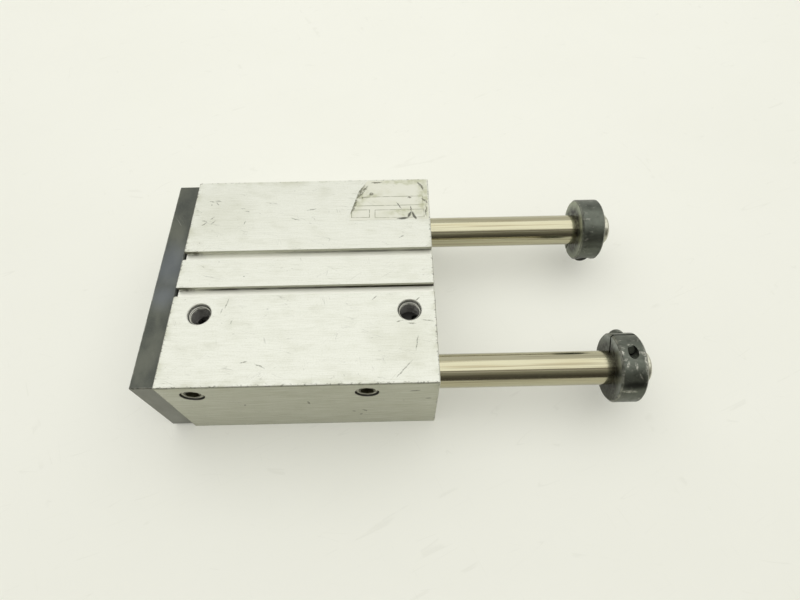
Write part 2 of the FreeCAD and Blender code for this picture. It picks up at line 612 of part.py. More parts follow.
def build_plate():
    body = new_body("tool_plate", x="plate_front_x")
    sketch = new_sketch(body, "plate_section", "YZ_Plane")
    side, top = "plate_width / 2", "plate_height / 2"
    outline(sketch, [(f"-{side}", f"-{top}"), (side, f"-{top}"), (side, top), (f"-{side}", top)])
    slab = extrude(body, "Pad", "slab", sketch, "plate_thickness")
    break_edges(body, slab, "plate_bevel")
    clearance = "plate_screw_thread / 2 + clear_gap"
    seat = "plate_thickness - rod_seat"
    for name, y, rod in (("near", "-rod_y", "rod_diameter"), ("middle", "0", "piston_rod_diameter"),
                         ("far", "rod_y", "rod_diameter")):
        spin(body, "Groove", name + "_rod_seat", [
            ("0", "0"), ("0", "plate_screw_head / 2 + head_room"),
            ("plate_sink", "plate_screw_head / 2 + head_room"), ("plate_sink", clearance),
            (seat, clearance), (seat, f"{rod} / 2"), ("plate_thickness", f"{rod} / 2"),
            ("plate_thickness", "0"),
        ], y=y)
    sketch = new_sketch(body, "tool_pattern", "YZ_Plane")
    for across in ("-tool_across / 2", "tool_across / 2"):
        for up in ("-tool_up / 2", "tool_up / 2"):
            circle(sketch, across, up, "tool_thread / 2")
    drill_pattern(body, "tool_holes", sketch, "tool_thread").Reversed = True
    nodes.append(body)


def build_rods():
    """Guide rods and piston rod, each with a tapped hole for its plate screw."""
    thread = "plate_screw_thread / 2"
    point = f"plate_screw_hole + {thread} / 2"
    guide = "rod_diameter / 2"
    for side, y in (("near", "-rod_y"), ("far", "rod_y")):
        tail = f"{side}_rod_length"
        nodes.append(turned(f"guide_rod_{side}", [
            ("0", thread), ("0", f"{guide} - rod_bevel"), ("rod_bevel", guide),
            (f"{tail} - rod_end_bevel", guide), (tail, f"{guide} - rod_end_bevel"),
            (tail, "0"), (point, "0"), ("plate_screw_hole", thread),
        ], x="rod_front_x", y=y))
    rod, spigot, end = "piston_rod_diameter / 2", "spigot_diameter / 2", "piston_rod_length + spigot_length"
    floor = f"{spigot} - small_cord_section"
    groove = "piston_rod_length + spigot_length / 2 - small_cord_groove / 2"
    tapped, bottom = "piston_screw_thread / 2", f"{end} - piston_screw_hole"
    nodes.append(turned("piston_rod", [
        ("0", thread), ("0", f"{rod} - rod_bevel"), ("rod_bevel", rod),
        ("piston_rod_length - rod_bevel", rod), ("piston_rod_length", f"{rod} - rod_bevel"),
        ("piston_rod_length", spigot),
        (groove, spigot), (groove, floor), (f"{groove} + small_cord_groove", floor),
        (f"{groove} + small_cord_groove", spigot), (end, spigot), (end, tapped), (bottom, tapped),
        (f"{bottom} - {tapped} / 2", "0"), (point, "0"), ("plate_screw_hole", thread),
    ], x="rod_front_x"))
    o_ring("piston_o_ring", "small_cord_section", f"{spigot} - small_cord_section / 2",
           x="rod_front_x + piston_rod_length + spigot_length / 2")


def build_piston():
    """Piston with two lip seals, a magnet for the sensors, a wear ring and its screw."""
    seal_floor = "sliding_rim - piston_seal_wall"
    first, first_end = "piston_seal_start", "piston_seal_start + piston_seal_length"
    wear, wear_end, magnet_floor = "wear_start", "wear_start + wear_ring_length", "wear_floor - magnet_wall"
    last = "piston_length - piston_seal_start - piston_seal_length"
    last_end = "piston_length - piston_seal_start"
    sink, head = "piston_length - piston_sink", "piston_screw_head / 2 + head_room"
    hole, spigot = "piston_screw_thread / 2 + clear_gap", "spigot_diameter / 2"
    floor = "rod_seat + spigot_length"
    nodes.append(turned("piston", [
        ("0", "piston_rod_diameter / 2"), ("0", "piston_radius - piston_bevel"),
        ("piston_bevel", "piston_radius"),
        (first, "piston_radius"), (first, seal_floor), (first_end, seal_floor), (first_end, "piston_radius"),
        (wear, "piston_radius"), (wear, magnet_floor), (wear_end, magnet_floor), (wear_end, "piston_radius"),
        (last, "piston_radius"), (last, seal_floor), (last_end, seal_floor), (last_end, "piston_radius"),
        ("piston_length - piston_bevel", "piston_radius"), ("piston_length", "piston_radius - piston_bevel"),
        ("piston_length", head), (sink, head), (sink, hole), (floor, hole), (floor, spigot),
        ("rod_seat", spigot), ("rod_seat", "piston_rod_diameter / 2"),
    ], x="piston_x"))
    for end, start in (("front", first), ("rear", last)):
        lip_seal(f"piston_seal_{end}", seal_floor, "sliding_rim", "piston_seal_length", end,
                 x=f"piston_x + {start}")
    for name, inner, rim in (("wear_ring", "wear_floor", "sliding_rim"),
                             ("magnet_ring", magnet_floor, "wear_floor")):
        nodes.append(turned(name, [
            ("0", inner), ("0", rim), ("wear_ring_length", rim), ("wear_ring_length", inner),
        ], x=f"piston_x + {wear}"))
    nodes.append(screw("piston_screw", "piston_screw", "piston_screw_length",
                       x="piston_x + piston_length - head_room", axis="0; 0; 1", angle="180"))


def build_plate_screws():
    head_x = "plate_front_x + head_room"
    screws = [screw(f"{name}_rod_screw", "plate_screw", "plate_screw_length", x=head_x, y=y)
              for name, y in (("near", "-rod_y"), ("middle", "0"), ("far", "rod_y"))]
    group("plate_screws", screws)


def build_collars():
    """One-piece clamp collars: slit through to the bore, pulled together by a screw across the slit."""
    screws = []
    rim, bore, middle = "collar_rim", "rod_diameter / 2", "collar_width / 2"
    thread, head = "clamp_thread / 2", "clamp_head / 2 + clear_gap"
    for side, y, angle in (("near", "-rod_y", "near_slit_angle"), ("far", "rod_y", "far_slit_angle")):
        body = turned(f"stop_collar_{side}", [
            ("0", bore), ("0", f"{rim} - collar_bevel"), ("collar_bevel", rim),
            ("collar_width - collar_bevel", rim), ("collar_width", f"{rim} - collar_bevel"),
            ("collar_width", bore),
        ], x=f"{side}_collar_x", y=y, angle=angle)
        slit = new_sketch(body, f"{side}_slit_section", "XY_Plane", z="slit_width / 2")
        outline(slit, [("0", "0"), ("collar_width", "0"), ("collar_width", rim), ("0", rim)])
        extrude(body, "Pocket", f"{side}_slit", slit, "slit_width")
        spin(body, "Groove", f"{side}_clamp_hole", [
            ("0", rim), (thread, rim), (thread, "0"), (f"{thread} + clear_gap", "0"),
            (f"{thread} + clear_gap", "-clamp_head_seat"), (head, "-clamp_head_seat"), (head, f"-{rim}"),
            ("0", f"-{rim}"),
        ], role="XZ_Plane", about="V_Axis", x=middle, z="-clamp_offset")
        nodes.append(body)
        clamp = screw(f"{side}_clamp_screw", "clamp", "clamp_length")
        place = (f"placement(vector({side}_collar_x; {y}; axis_z); rotation(vector(1; 0; 0); {angle}))"
                 f" * placement(vector({middle}; clamp_offset; -clamp_head_seat - clamp_head_height);"
                 " rotation(vector(0; 1; 0); -90))")
        clamp.setExpression("Placement", bound(place))
        screws.append(clamp)
    group("collar_clamp_screws", screws)


def check_document():
    """Stop on any failed object, any invalid solid and any cut that removed nothing."""
    for item in doc.Objects:
        if "Invalid" in item.State or "Error" in item.State:
            raise RuntimeError(f"{item.Name} failed: {item.State}")
    for body in doc.findObjects("PartDesign::Body"):
        before = None
        for feature in body.Group:
            if not feature.isDerivedFrom("PartDesign::Feature"):
                continue
            cut = feature.TypeId.split("::")[1] in ("Pocket", "Groove", "Hole", "Chamfer")
            if cut and feature.Shape.Volume > before - LEAST_CUT:
                raise RuntimeError(f"{feature.Name} removed nothing")
            before = feature.Shape.Volume
    for node in nodes:
        if node.Shape.isNull() or not node.Shape.isValid():
            raise RuntimeError(f"{node.Label} has no valid shape")


build_block()
build_block_fittings()
build_guides()
build_gland()
build_cap()
build_plate()
build_rods()
build_piston()
build_plate_screws()
build_collars()
doc.recompute()
check_document()
os.makedirs("parts", exist_ok=True)
for node in nodes:
    node.Shape.exportStep(f"parts/{node.Label}.step")
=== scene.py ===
from math import cos, pi, radians, sin

import bpy
from bpy.props import FloatProperty, FloatVectorProperty, PointerProperty
from mathutils import Matrix, Vector


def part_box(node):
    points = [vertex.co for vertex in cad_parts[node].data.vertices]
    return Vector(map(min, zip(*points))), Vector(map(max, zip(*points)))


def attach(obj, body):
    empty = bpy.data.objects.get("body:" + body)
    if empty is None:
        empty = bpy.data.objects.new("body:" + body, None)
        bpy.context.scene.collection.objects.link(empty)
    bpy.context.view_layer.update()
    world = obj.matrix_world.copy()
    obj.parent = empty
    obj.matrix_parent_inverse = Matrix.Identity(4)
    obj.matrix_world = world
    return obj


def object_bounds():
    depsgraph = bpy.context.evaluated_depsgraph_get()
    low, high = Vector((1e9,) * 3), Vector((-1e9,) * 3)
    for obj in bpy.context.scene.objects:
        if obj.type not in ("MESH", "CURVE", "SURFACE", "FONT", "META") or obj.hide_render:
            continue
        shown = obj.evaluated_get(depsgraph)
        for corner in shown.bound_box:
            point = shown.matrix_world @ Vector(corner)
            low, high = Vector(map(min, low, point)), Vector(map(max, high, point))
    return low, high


bl_info = {
    "name": "Guided pneumatic cylinder",
    "version": (1, 0, 0),
    "blender": (4, 5, 0),
    "location": "3D View > Sidebar > Cylinder",
    "description": "Threads, label and surface finishes of a twin-rod guided pneumatic cylinder",
    "category": "Object",
}

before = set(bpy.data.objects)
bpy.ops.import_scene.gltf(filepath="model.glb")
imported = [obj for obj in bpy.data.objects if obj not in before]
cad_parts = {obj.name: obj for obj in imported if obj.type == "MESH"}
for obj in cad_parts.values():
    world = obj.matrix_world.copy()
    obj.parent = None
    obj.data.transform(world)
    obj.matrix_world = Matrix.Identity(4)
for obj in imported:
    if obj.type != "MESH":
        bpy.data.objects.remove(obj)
CAD_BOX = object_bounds()

MM = 0.001  # the scene is in metres
HOUSING, CARRIAGE = "housing", "carriage"
# Where the block's openings are (mm). A slot reaches 3 mm to either side of its middle, and 3.8 mm under its
# lips, which are 1.9 mm thick. It is 4 mm deep.
TOP_PORTS_X, TOP_PORTS_Y = (-57.8, 59.7), -27.4
SIDE_PORTS_X, SIDE_PORTS_Z = (-57.8, 35.7), 52.6
SLOTS_Y = 12.7


def linear(hex_colour):
    """The linear RGB of an sRGB colour written as #rrggbb."""
    parts = [int(hex_colour[start:start + 2], 16) / 255 for start in (1, 3, 5)]
    return tuple(part / 12.92 if part <= 0.04045 else ((part + 0.055) / 1.055) ** 2.4 for part in parts)


def paint(colour):
    """What a colour input takes, for a colour given as #rrggbb, as linear RGB or as a socket to link."""
    if isinstance(colour, bpy.types.NodeSocket):
        return colour
    return (*(linear(colour) if isinstance(colour, str) else colour), 1.0)


def box_mm(name):
    """The low and the high corner of a CAD node's box, in millimetres."""
    return [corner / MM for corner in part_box(name)]


# ---- sizes and colours that a user may change

def length(name, default_mm, description):
    return FloatProperty(name=name, description=description, default=default_mm * MM, min=0.0,
                         subtype="DISTANCE", unit="LENGTH")


def colour(name, default, description):
    return FloatVectorProperty(name=name, description=description, default=linear(default), size=3,
                               min=0.0, max=1.0, subtype="COLOR")


class BlockLook(bpy.types.PropertyGroup):
    anodised: colour("Anodised", "#e1e2d8", "Clear anodised aluminium of the block")
    # This colour is soil from handling, and painted shade on the near side of the block and on the faces of
    # the slots' lips.
    handled_dirt_and_shade: colour("Handled", "#a8a98d", "Dirt that handling has rubbed into the block")
    # This colour is oil and painted shade in the roots of the threads.
    grime_and_shade: colour("Grime", "#2b2b29", "Oil and dust in the ports and at the ends of the slots")
    # This colour is an oil film with painted shade, down in the ports.
    port_grime_and_shade: colour("Port grime", "#575652", "Thin oily film down in the ports")
    scratch: colour("Scratch", "#77786a", "Floor of a scratch")


class ThreadSizes(bpy.types.PropertyGroup):
    port_pitch: length("Port pitch", 1.337, "Pitch of the G 1/4 thread in the air ports")
    port_height: length("Port thread height", 0.856, "Radial height of the thread in the air ports")
    port_radius: length("Port radius", 6.58, "Outer radius of the thread in the air ports")
    port_turns: FloatProperty(name="Port turns", description="Turns of thread in a top port", default=9.0,
                              min=1.0)
    hole_pitch: length("Hole pitch", 1.25, "Pitch of the M8 threads")
    hole_height: length("Hole thread height", 0.6, "Radial height of the M8 threads")
    hole_radius: length("Hole radius", 4.0, "Outer radius of the M8 threads")


class LabelLook(bpy.types.PropertyGroup):
    thickness: length("Thickness", 0.08, "Thickness of the label film")
    film: colour("Film", "#e0e0d2", "Printed silver film of the label")
    rule: colour("Rule", "#85866f", "Ruled lines of the empty boxes")
    soil: colour("Soil", "#54543f", "Dirt in the torn edges of the film")


class MovingLook(bpy.types.PropertyGroup):
    plate: colour("Tool plate", "#585a50", "Phosphated steel of the tool plate")
    chrome: colour("Chrome", "#b8b49a", "Ground hard chrome of the rods")
    oxide: colour("Black oxide", "#60645b", "Black oxide of collars and screws")
    bare: colour("Bare steel", "#bab9ae", "Steel where the black oxide is rubbed off")


class StageLook(bpy.types.PropertyGroup):
    floor: colour("Floor", "#f3f3e9", "Pale table top")
    screen: colour("Screens", "#605c57", "Grey cloth of the screens round the table")
    plain_share: FloatProperty(name="Plain share", description="Share of the table top without shadows",
                               default=0.28, min=0.0, max=1.0, subtype="FACTOR")
    lamp_power: FloatProperty(name="Lamp power", description="Power of the soft box", default=18.8,
                              min=0.0, unit="POWER")
    lens: FloatProperty(name="Lens", description="Focal length on a 36 mm wide sensor", default=23.16,
                        min=1.0, subtype="DISTANCE_CAMERA")
    depression: FloatProperty(name="Depression", description="How far down the camera looks",
                              default=radians(59.52), subtype="ANGLE")
    yaw: FloatProperty(name="Yaw", description="How far the camera turns from +Y to +X",
                       default=radians(0.41), subtype="ANGLE")
    roll: FloatProperty(name="Roll", description="Turn of the camera about its own view line",
                        default=radians(0.88), subtype="ANGLE")
    place: FloatVectorProperty(name="Place", description="Where the camera stands", size=3,
                               default=(0.0534, -0.1685, 0.315), subtype="TRANSLATION", unit="LENGTH")


# ---- shader helpers

def socket(sockets, key):
    """A socket by number, or by name among those that the node's settings leave in use."""
    if isinstance(key, int):
        return sockets[key]
    return next(item for item in sockets if item.name == key and item.enabled)


def add_node(tree, kind, inputs=(), **settings):
    """Add one shader node with its settings, and set or link its inputs, given as socket and value."""
    node = tree.nodes.new("ShaderNode" + kind)
    for name, value in settings.items():
        setattr(node, name, value)
    for key, value in dict(inputs).items():
        if isinstance(value, bpy.types.Node):
            value = next(item for item in value.outputs if item.enabled)
        if isinstance(value, bpy.types.NodeSocket):
            tree.links.new(value, socket(node.inputs, key))
        else:
            socket(node.inputs, key).default_value = value
    return node


def new_material(name):
    """An empty node material, its tree, and its surface coordinates in millimetres of the frame."""
    material = bpy.data.materials.new(name)
    material.use_nodes = True
    tree = material.node_tree
    tree.nodes.clear()
    coordinates = add_node(tree, "TexCoord")
    where = add_node(tree, "VectorMath", {0: coordinates.outputs["Object"], "Scale": 1 / MM},
                     operation="SCALE")
    return material, tree, where


def finish_material(material, base, roughness, metallic, bump=None, **sockets):
    """Close a material with one Principled shader. Bump is a height in millimetres."""
    tree = material.node_tree
    inputs = {"Base Color": base, "Roughness": roughness, "Metallic": metallic, **sockets}
    if bump is not None:
        inputs["Normal"] = add_node(tree, "Bump", {"Height": bump, "Distance": MM, "Strength": 1.0})
    shader = add_node(tree, "BsdfPrincipled", inputs)
    add_node(tree, "OutputMaterial", {"Surface": shader})
    return material


def mottle(tree, where, sizes, detail=2.0, turn=(0, 0, 0)):
    """Noise whose blotches have one size in millimetres, or one along each of X, Y and Z."""
    sizes = sizes if isinstance(sizes, tuple) else (sizes,) * 3
    turned = add_node(tree, "Mapping", {"Vector": where, "Rotation": [radians(angle) for angle in turn]})
    shrunk = add_node(tree, "VectorMath", {0: turned, 1: [1 / size for size in sizes]}, operation="MULTIPLY")
    return add_node(tree, "TexNoise", {"Vector": shrunk, "Scale": 1.0, "Detail": detail}).outputs["Fac"]


def ramp(tree, value, start, end, low=0.0, high=1.0):
    """A smooth step of a value from one level to another."""
    return add_node(tree, "MapRange", {"Value": value, "From Min": start, "From Max": end, "To Min": low,
                                       "To Max": high}, interpolation_type="SMOOTHSTEP").outputs[0]


def worked(tree, operation, first, *others):
    """Values worked into one by a math operation, two at a time."""
    for other in others or (0.0,):
        first = add_node(tree, "Math", {0: first, 1: other}, operation=operation).outputs[0]
    return first


def product(tree, *values):
    return worked(tree, "MULTIPLY", *values)


def layered(tree, base, *layers):
    """A colour under layers of others. Each layer is a mask, the share of it that counts, and a colour."""
    for mask, share, colour in layers:
        mask = mask if share == 1 else product(tree, mask, share)
        base = add_node(tree, "Mix", {"Factor": mask, "A": paint(base), "B": paint(colour)},
                        data_type="RGBA").outputs[2]
    return base


def hairlines(tree, where, turn, spacing, width, share):
    """Long thin scratches one way: level lines of a noise stretched along them, kept in a share of places."""
    field = mottle(tree, where, (spacing * 14, spacing, spacing), 1.0, (0, 0, turn))
    line = ramp(tree, worked(tree, "ABSOLUTE", worked(tree, "SUBTRACT", field, 0.5)), 0.0, width, 1.0, 0.0)
    patches = mottle(tree, where, (17, 13, 13), 1.0, (0, 0, turn * 2 + 31))
    return product(tree, line, ramp(tree, patches, 1 - share, 1 - share + 0.08))


def specks(tree, where, cell, radius, share):
    """Small round marks, one at most in each cell, in a share of the cells."""
    spots = add_node(tree, "TexVoronoi", {"Vector": where, "Scale": 1 / cell})
    chance, size = add_node(tree, "SeparateColor", {"Color": spots.outputs["Color"]}).outputs[:2]
    present = worked(tree, "GREATER_THAN", chance, 1 - share)
    within = worked(tree, "LESS_THAN", spots.outputs["Distance"], product(tree, size, radius / cell))
    return product(tree, within, present)


def from_ends(tree, part, low, high):
    """How far in a coordinate lies from the nearer of two ends."""
    return worked(tree, "MINIMUM", worked(tree, "SUBTRACT", part, low), worked(tree, "SUBTRACT", high, part))


def edge_distance(tree, where, low, high):
    """Distance from a point on the faces of a block to the nearest of its edges."""
    parts = add_node(tree, "SeparateXYZ", {0: where}).outputs
    first, second, third = [from_ends(tree, *ends) for ends in zip(parts, low, high)]
    least, most = [worked(tree, way, first, second) for way in ("MINIMUM", "MAXIMUM")]
    return worked(tree, "MAXIMUM", least, worked(tree, "MINIMUM", most, third))


def axis_distance(tree, where, direction, point):
    """Distance from an axis along X, Y or Z, given by its direction and a point on it."""
    across = [1 - part for part in direction]
    flat = add_node(tree, "VectorMath", {0: where, 1: across}, operation="MULTIPLY")
    centre = [value * part for value, part in zip(point, across)]
    return add_node(tree, "VectorMath", {0: flat, 1: centre}, operation="DISTANCE").outputs["Value"]


def marks(tree, where, places, core=0.45):
    """A mask of listed marks. Each is an ellipsoid: its middle, its turn in degrees and its half sizes.
    The mask is full within the core, a share of those sizes, and fades out from there."""
    reaches = []
    for middle, turn, sizes in places:
        local = add_node(tree, "Mapping", {"Vector": where, "Location": middle, "Scale": sizes,
                                           "Rotation": [radians(angle) for angle in turn]},
                         vector_type="TEXTURE")
        reaches.append(add_node(tree, "VectorMath", {0: local}, operation="LENGTH").outputs["Value"])
    nearest = worked(tree, "MINIMUM", *reaches) if len(reaches) > 1 else reaches[0]
    return ramp(tree, nearest, core, 1.0, 1.0, 0.0)


def lying(height, places, reach=4):
    """Marks on a level face, each given by X, Y, direction and half sizes along and across it."""
    return [((x, y, height), (0, 0, turn), (half_length, half_width, reach))
            for x, y, turn, half_length, half_width in places]


def wavering(tree, where, amount, size):
    """The surface coordinates shaken by noise, so that a mark's outline is ragged."""
    shake = add_node(tree, "TexNoise", {"Vector": where, "Scale": 1 / size, "Detail": 2.0}).outputs["Color"]
    centred = add_node(tree, "VectorMath", {0: shake, 1: (0.5, 0.5, 0.5)}, operation="SUBTRACT")
    shift = add_node(tree, "VectorMath", {0: centred, "Scale": amount * 2}, operation="SCALE")
    return add_node(tree, "VectorMath", {0: where, 1: shift}, operation="ADD")


# ---- materials

# Scratches that stand out on the top of the block: X and Y of the middle, direction, length (mm, degrees).
TOP_SCRATCHES = [
    (63.1, -48, 81, 12), (55.7, -63.2, 48, 16), (69.8, -34.4, -9, 9), (40, -19.3, 42, 5),
    (54.1, -34.5, 11, 5), (60.9, -36.1, -7, 6), (-28.9, -57.2, 10, 5), (-20.2, -59.6, -27, 8),
    (-63.7, 54.6, -10, 5), (-60, 52.8, -47, 4), (-66, 36.6, 44, 5), (-61.5, 41, 44, 4),
    (-59.8, 54.9, -6, 6), (-65.9, 38.7, -18, 5), (-60.5, 37.7, 52, 6), (-40.2, 46, -5, 4),
    (-67, 15.5, 20, 2), (-43.2, -20.7, 76, 8), (-45.6, -25.8, 80, 4), (-39, -32.8, 75, 3),
    (64.4, -20.6, 35, 4), (56.3, 23.7, 31, 5), (0.2, 46.5, 10, 8), (-9.5, 39, -19, 8),
    (-40.8, 37, 80, 4), (-43.3, 48.5, 0, 4),
]
# Dents on its near side: X and Z of the middle, direction, length.
SIDE_SCRATCHES = [(2.2, 38.3, -82, 6), (32.6, 23.6, -50, 5), (26.3, 22.3, -30, 3), (69.1, 41.5, 8, 4),
                  (-33.8, 36.7, 70, 3), (30.1, 16.8, 50, 4), (61.5, 53.7, 8, 7)]
SCRATCH_WIDTH = 0.45  # mm, about twice the real width, the least that shows


def soiled_and_shaded_ports(tree, where, start=1.2):
    """Where oil, dust and painted shade lie in the ports: from a depth in the top ones, from the mouth round
    the plugs.
    """
    low, high = box_mm("cylinder_body")
    across, up = add_node(tree, "SeparateXYZ", {0: where}).outputs[1:]
    uneven = product(tree, mottle(tree, where, 2, 3.0), 1.6)
    down = worked(tree, "SUBTRACT", high.z, up, uneven)
    inward = worked(tree, "SUBTRACT", across, low.y)
    reach = 7.6  # mm, so a mark is full within 7 mm, where a port's bevelled mouth ends
    top = marks(tree, where, [
        ((x, TOP_PORTS_Y, high.z), (0, 0, 0), (reach, reach, 60)) for x in TOP_PORTS_X], 0.92)
    side = marks(tree, where, [
        ((x, low.y, SIDE_PORTS_Z), (0, 0, 0), (reach, 60, reach)) for x in SIDE_PORTS_X], 0.92)
    return worked(tree, "MAXIMUM", product(tree, top, ramp(tree, down, start, start + 2)),
                  product(tree, side, ramp(tree, inward, 0.05, 0.3)))


def soiled_and_shaded_slots(tree, where):
    """Three masks on the sensor slots: soil and painted shade under the lips, soil in the front ends, painted
    shade on the lips' faces, and painted light on the floor."""
    low, high = box_mm("cylinder_body")
    along, across, up = add_node(tree, "SeparateXYZ", {0: where}).outputs
    depth = worked(tree, "SUBTRACT", high.z, up)
    under = product(tree, ramp(tree, depth, 1.8, 2.0), ramp(tree, depth, 4.4, 4.3))
    streaks = ramp(tree, mottle(tree, where, (24, 5, 5), 3.0), 0.35, 0.6, 0.5, 1.0)
    packed_dirt_and_shade, slots, mouths = [], [], []
    # Each slot's place, the stretch over which its soil and painted shade build up, and how much there is at
    # the end of it.
    for y, start, end, share in ((-SLOTS_Y, -68, -46, 0.98), (SLOTS_Y, -40, 25, 0.5)):
        beside = worked(tree, "ABSOLUTE", worked(tree, "SUBTRACT", across, y))
        edge = product(tree, ramp(tree, beside, 2.9, 3.1), ramp(tree, beside, 4.2, 4.1))
        amount = product(tree, ramp(tree, along, start, end, 0.05, share), streaks)
        packed_dirt_and_shade.append(product(tree, edge, amount))
        slots.append(ramp(tree, beside, 4.2, 4.1))
        mouths.append(ramp(tree, beside, 3.3, 3.2))
    packed_dirt_and_shade = product(tree, worked(tree, "MAXIMUM", *packed_dirt_and_shade), under)
    ends = marks(tree, wavering(tree, where, 1.0, 3), [
        ((low.x + 5, y + 3.3, high.z - 2.2), (0, 0, 0), (9, 1.4, 2.6)) for y in (-SLOTS_Y, SLOTS_Y)])
    packed_dirt_and_shade = worked(tree, "MAXIMUM", packed_dirt_and_shade, product(tree, ends, 0.8))
    lip_wall_shade = product(tree, ramp(tree, depth, 0.1, 0.4), ramp(tree, depth, 1.95, 1.85))
    return (packed_dirt_and_shade, product(tree, lip_wall_shade, worked(tree, "MAXIMUM", *mouths)),
            product(tree, under, worked(tree, "MAXIMUM", *slots)))


def anodised_aluminium(look):
    """Extruded aluminium, etched and clear anodised: pale, satin, with short fine lines along it."""
    material, tree, where = new_material("anodised_aluminium")
    low, high = box_mm("cylinder_body")
    top, near = high.z, low.y
    # Die lines are 0.1 mm apart on the real extrusion and are drawn 0.5 mm apart.
    lines = mottle(tree, where, (11, 0.5, 0.5), 3.0)
    etched = mottle(tree, where, (0.9, 0.7, 0.7))
    bands = mottle(tree, where, (90, 3, 3), 3.0)
    blotches = mottle(tree, where, (16, 9, 9), 4.0)
    base = look.anodised
    for pattern, start, end, most in ((lines, 0.42, 0.78, 0.20), (etched, 0.42, 0.78, 0.16),
                                      (bands, 0.45, 0.75, 0.07), (blotches, 0.5, 0.78, 0.22)):
        base = layered(tree, base, (ramp(tree, pattern, start, end, 0.0, most), 1, look.handled_dirt_and_shade))
    stains = marks(tree, wavering(tree, where, 5, 15), [
        ((58, -47, top), (0, 0, 0), (26, 24, 5)), ((-56, 44, top), (0, 0, 0), (30, 28, 5)),
        ((-10, -17.5, top), (0, 0, 0), (12, 3, 4))], 0.1)
    # Painted shade darkens the side with the plugs, streaked along it, and a dark line of painted shade runs
    # along its top edge.
    across, up = add_node(tree, "SeparateXYZ", {0: where}).outputs[1:]
    side = ramp(tree, across, near + 0.3, near + 0.1)
    side_shade_and_streaks = mottle(tree, where, (15, 0.6, 0.45), 3.0)
    side_shade_and_streaks = product(tree, side, ramp(tree, side_shade_and_streaks, 0.28, 0.74, 0.32, 0.72))
    top_edge_shade = product(tree, side, ramp(tree, up, top - 1.5, top - 0.5, 0.0, 0.7))

    scratches = worked(tree, "MAXIMUM", hairlines(tree, where, 12, 2.2, 0.010, 0.5),
                       hairlines(tree, where, -38, 3.1, 0.008, 0.42),
                       hairlines(tree, where, 74, 2.8, 0.007, 0.38))
    places = lying(top, [(x, y, turn, size / 2, SCRATCH_WIDTH) for x, y, turn, size in TOP_SCRATCHES], 2)
    places += [((x, near, z), (0, -turn, 0), (size / 2, 2, SCRATCH_WIDTH * 2))
               for x, z, turn, size in SIDE_SCRATCHES]
    broken = ramp(tree, mottle(tree, where, 0.8), 0.4, 0.6, 0.35, 1.0)
    gouges = product(tree, marks(tree, wavering(tree, where, 0.5, 2.5), places), broken)
    dots = worked(tree, "MAXIMUM", specks(tree, where, 9, 0.55, 0.22), specks(tree, where, 4, 0.3, 0.12))

    # Corners are knocked: dark nicks beside rubbed, brighter metal.
    edge = edge_distance(tree, where, low, high)
    nicks = product(tree, ramp(tree, edge, 0.5, 1.6, 1.0, 0.0),
                    ramp(tree, mottle(tree, where, (1.6, 1.1, 1.1)), 0.55, 0.64))
    dust = product(tree, ramp(tree, edge, 0.3, 5, 1.0, 0.0),
                   ramp(tree, mottle(tree, where, 9), 0.42, 0.7, 0.0, 0.4))
    packed_dirt_and_shade, lip_wall_shade, slot_floor_light = soiled_and_shaded_slots(tree, where)
    # Painted shade darkens the near side, its top edge and the faces of the slots' lips, painted light
    # brightens the slots' floor, and soil with painted shade lies under the lips and in the ports.
    base = layered(
        tree, base, (stains, 0.2, look.handled_dirt_and_shade), (side_shade_and_streaks, 1, look.handled_dirt_and_shade), (top_edge_shade, 1, "#66664f"),
        (scratches, 0.34, look.scratch), (gouges, 0.85, look.scratch),
        (product(tree, gouges, side), 0.7, "#55533c"), (dots, 0.8, look.scratch), (dust, 1, look.handled_dirt_and_shade),
        (nicks, 0.7, look.scratch), (lip_wall_shade, 0.5, look.handled_dirt_and_shade), (slot_floor_light, 0.8, "#f4f4ea"),
        (packed_dirt_and_shade, 0.96, "#37330f"), (soiled_and_shaded_ports(tree, where), 1, look.port_grime_and_shade))
    roughness = worked(tree, "MAXIMUM", ramp(tree, lines, 0.3, 0.7, 0.34, 0.46), product(tree, packed_dirt_and_shade, 0.9))
    height = worked(tree, "SUBTRACT", product(tree, lines, 0.012), product(tree, gouges, 0.06),
                    product(tree, nicks, 0.05))
    return finish_material(material, base, roughness, 0.35, height)


def turned_aluminium(look):
    """Aluminium off the lathe: bright, with tool marks round its axis."""
    material, tree, where = new_material("turned_aluminium")
    low, high = box_mm("rear_cap")
    out = axis_distance(tree, where, (1, 0, 0), (low + high) / 2)
    # A feed of 0.1 mm is drawn 0.5 mm apart.
    feed = worked(tree, "SINE", product(tree, out, 2 * pi / 0.5))
    stains = mottle(tree, where, 7, 3.0)
    base = layered(tree, look.anodised, (ramp(tree, stains, 0.45, 0.75, 0.0, 0.5), 1, look.handled_dirt_and_shade),
                   (ramp(tree, feed, -1, 1, 0.0, 0.12), 1, look.scratch))
    return finish_material(
        material, base, ramp(tree, stains, 0.3, 0.7, 0.25, 0.4), 0.9, product(tree, feed, 0.006))


def cut_thread(look, radius, height, axes):
    """Thread cut through the anodising: bare bright crests, oil and painted shade in the roots and further
    in.
    Its outer radius and its height are in metres. Each axis is its direction and a point on it."""
    material, tree, where = new_material("cut_aluminium_thread")
    stains = mottle(tree, where, 2.5, 3.0)
    nearest = worked(tree, "MINIMUM", *[axis_distance(tree, where, *axis) for axis in axes])
    crest = (radius - height) / MM
    # Oil and painted shade darken the thread from near its crest into its roots.
    oil_and_shade_from, oil_and_shade_to = crest + height / MM * 0.1, crest + height / MM * 0.5
    base = layered(tree, "#cfcfc3", (ramp(tree, stains, 0.45, 0.7, 0.0, 0.3), 1, look.handled_dirt_and_shade),
                   (ramp(tree, nearest, oil_and_shade_from, oil_and_shade_to, 0.0, 0.95), 1, look.grime_and_shade),
                   (soiled_and_shaded_ports(tree, where, 2.5), 1, look.port_grime_and_shade))
    return finish_material(
        material, base, ramp(tree, stains, 0.3, 0.7, 0.25, 0.5), 0.6, product(tree, stains, 0.04))


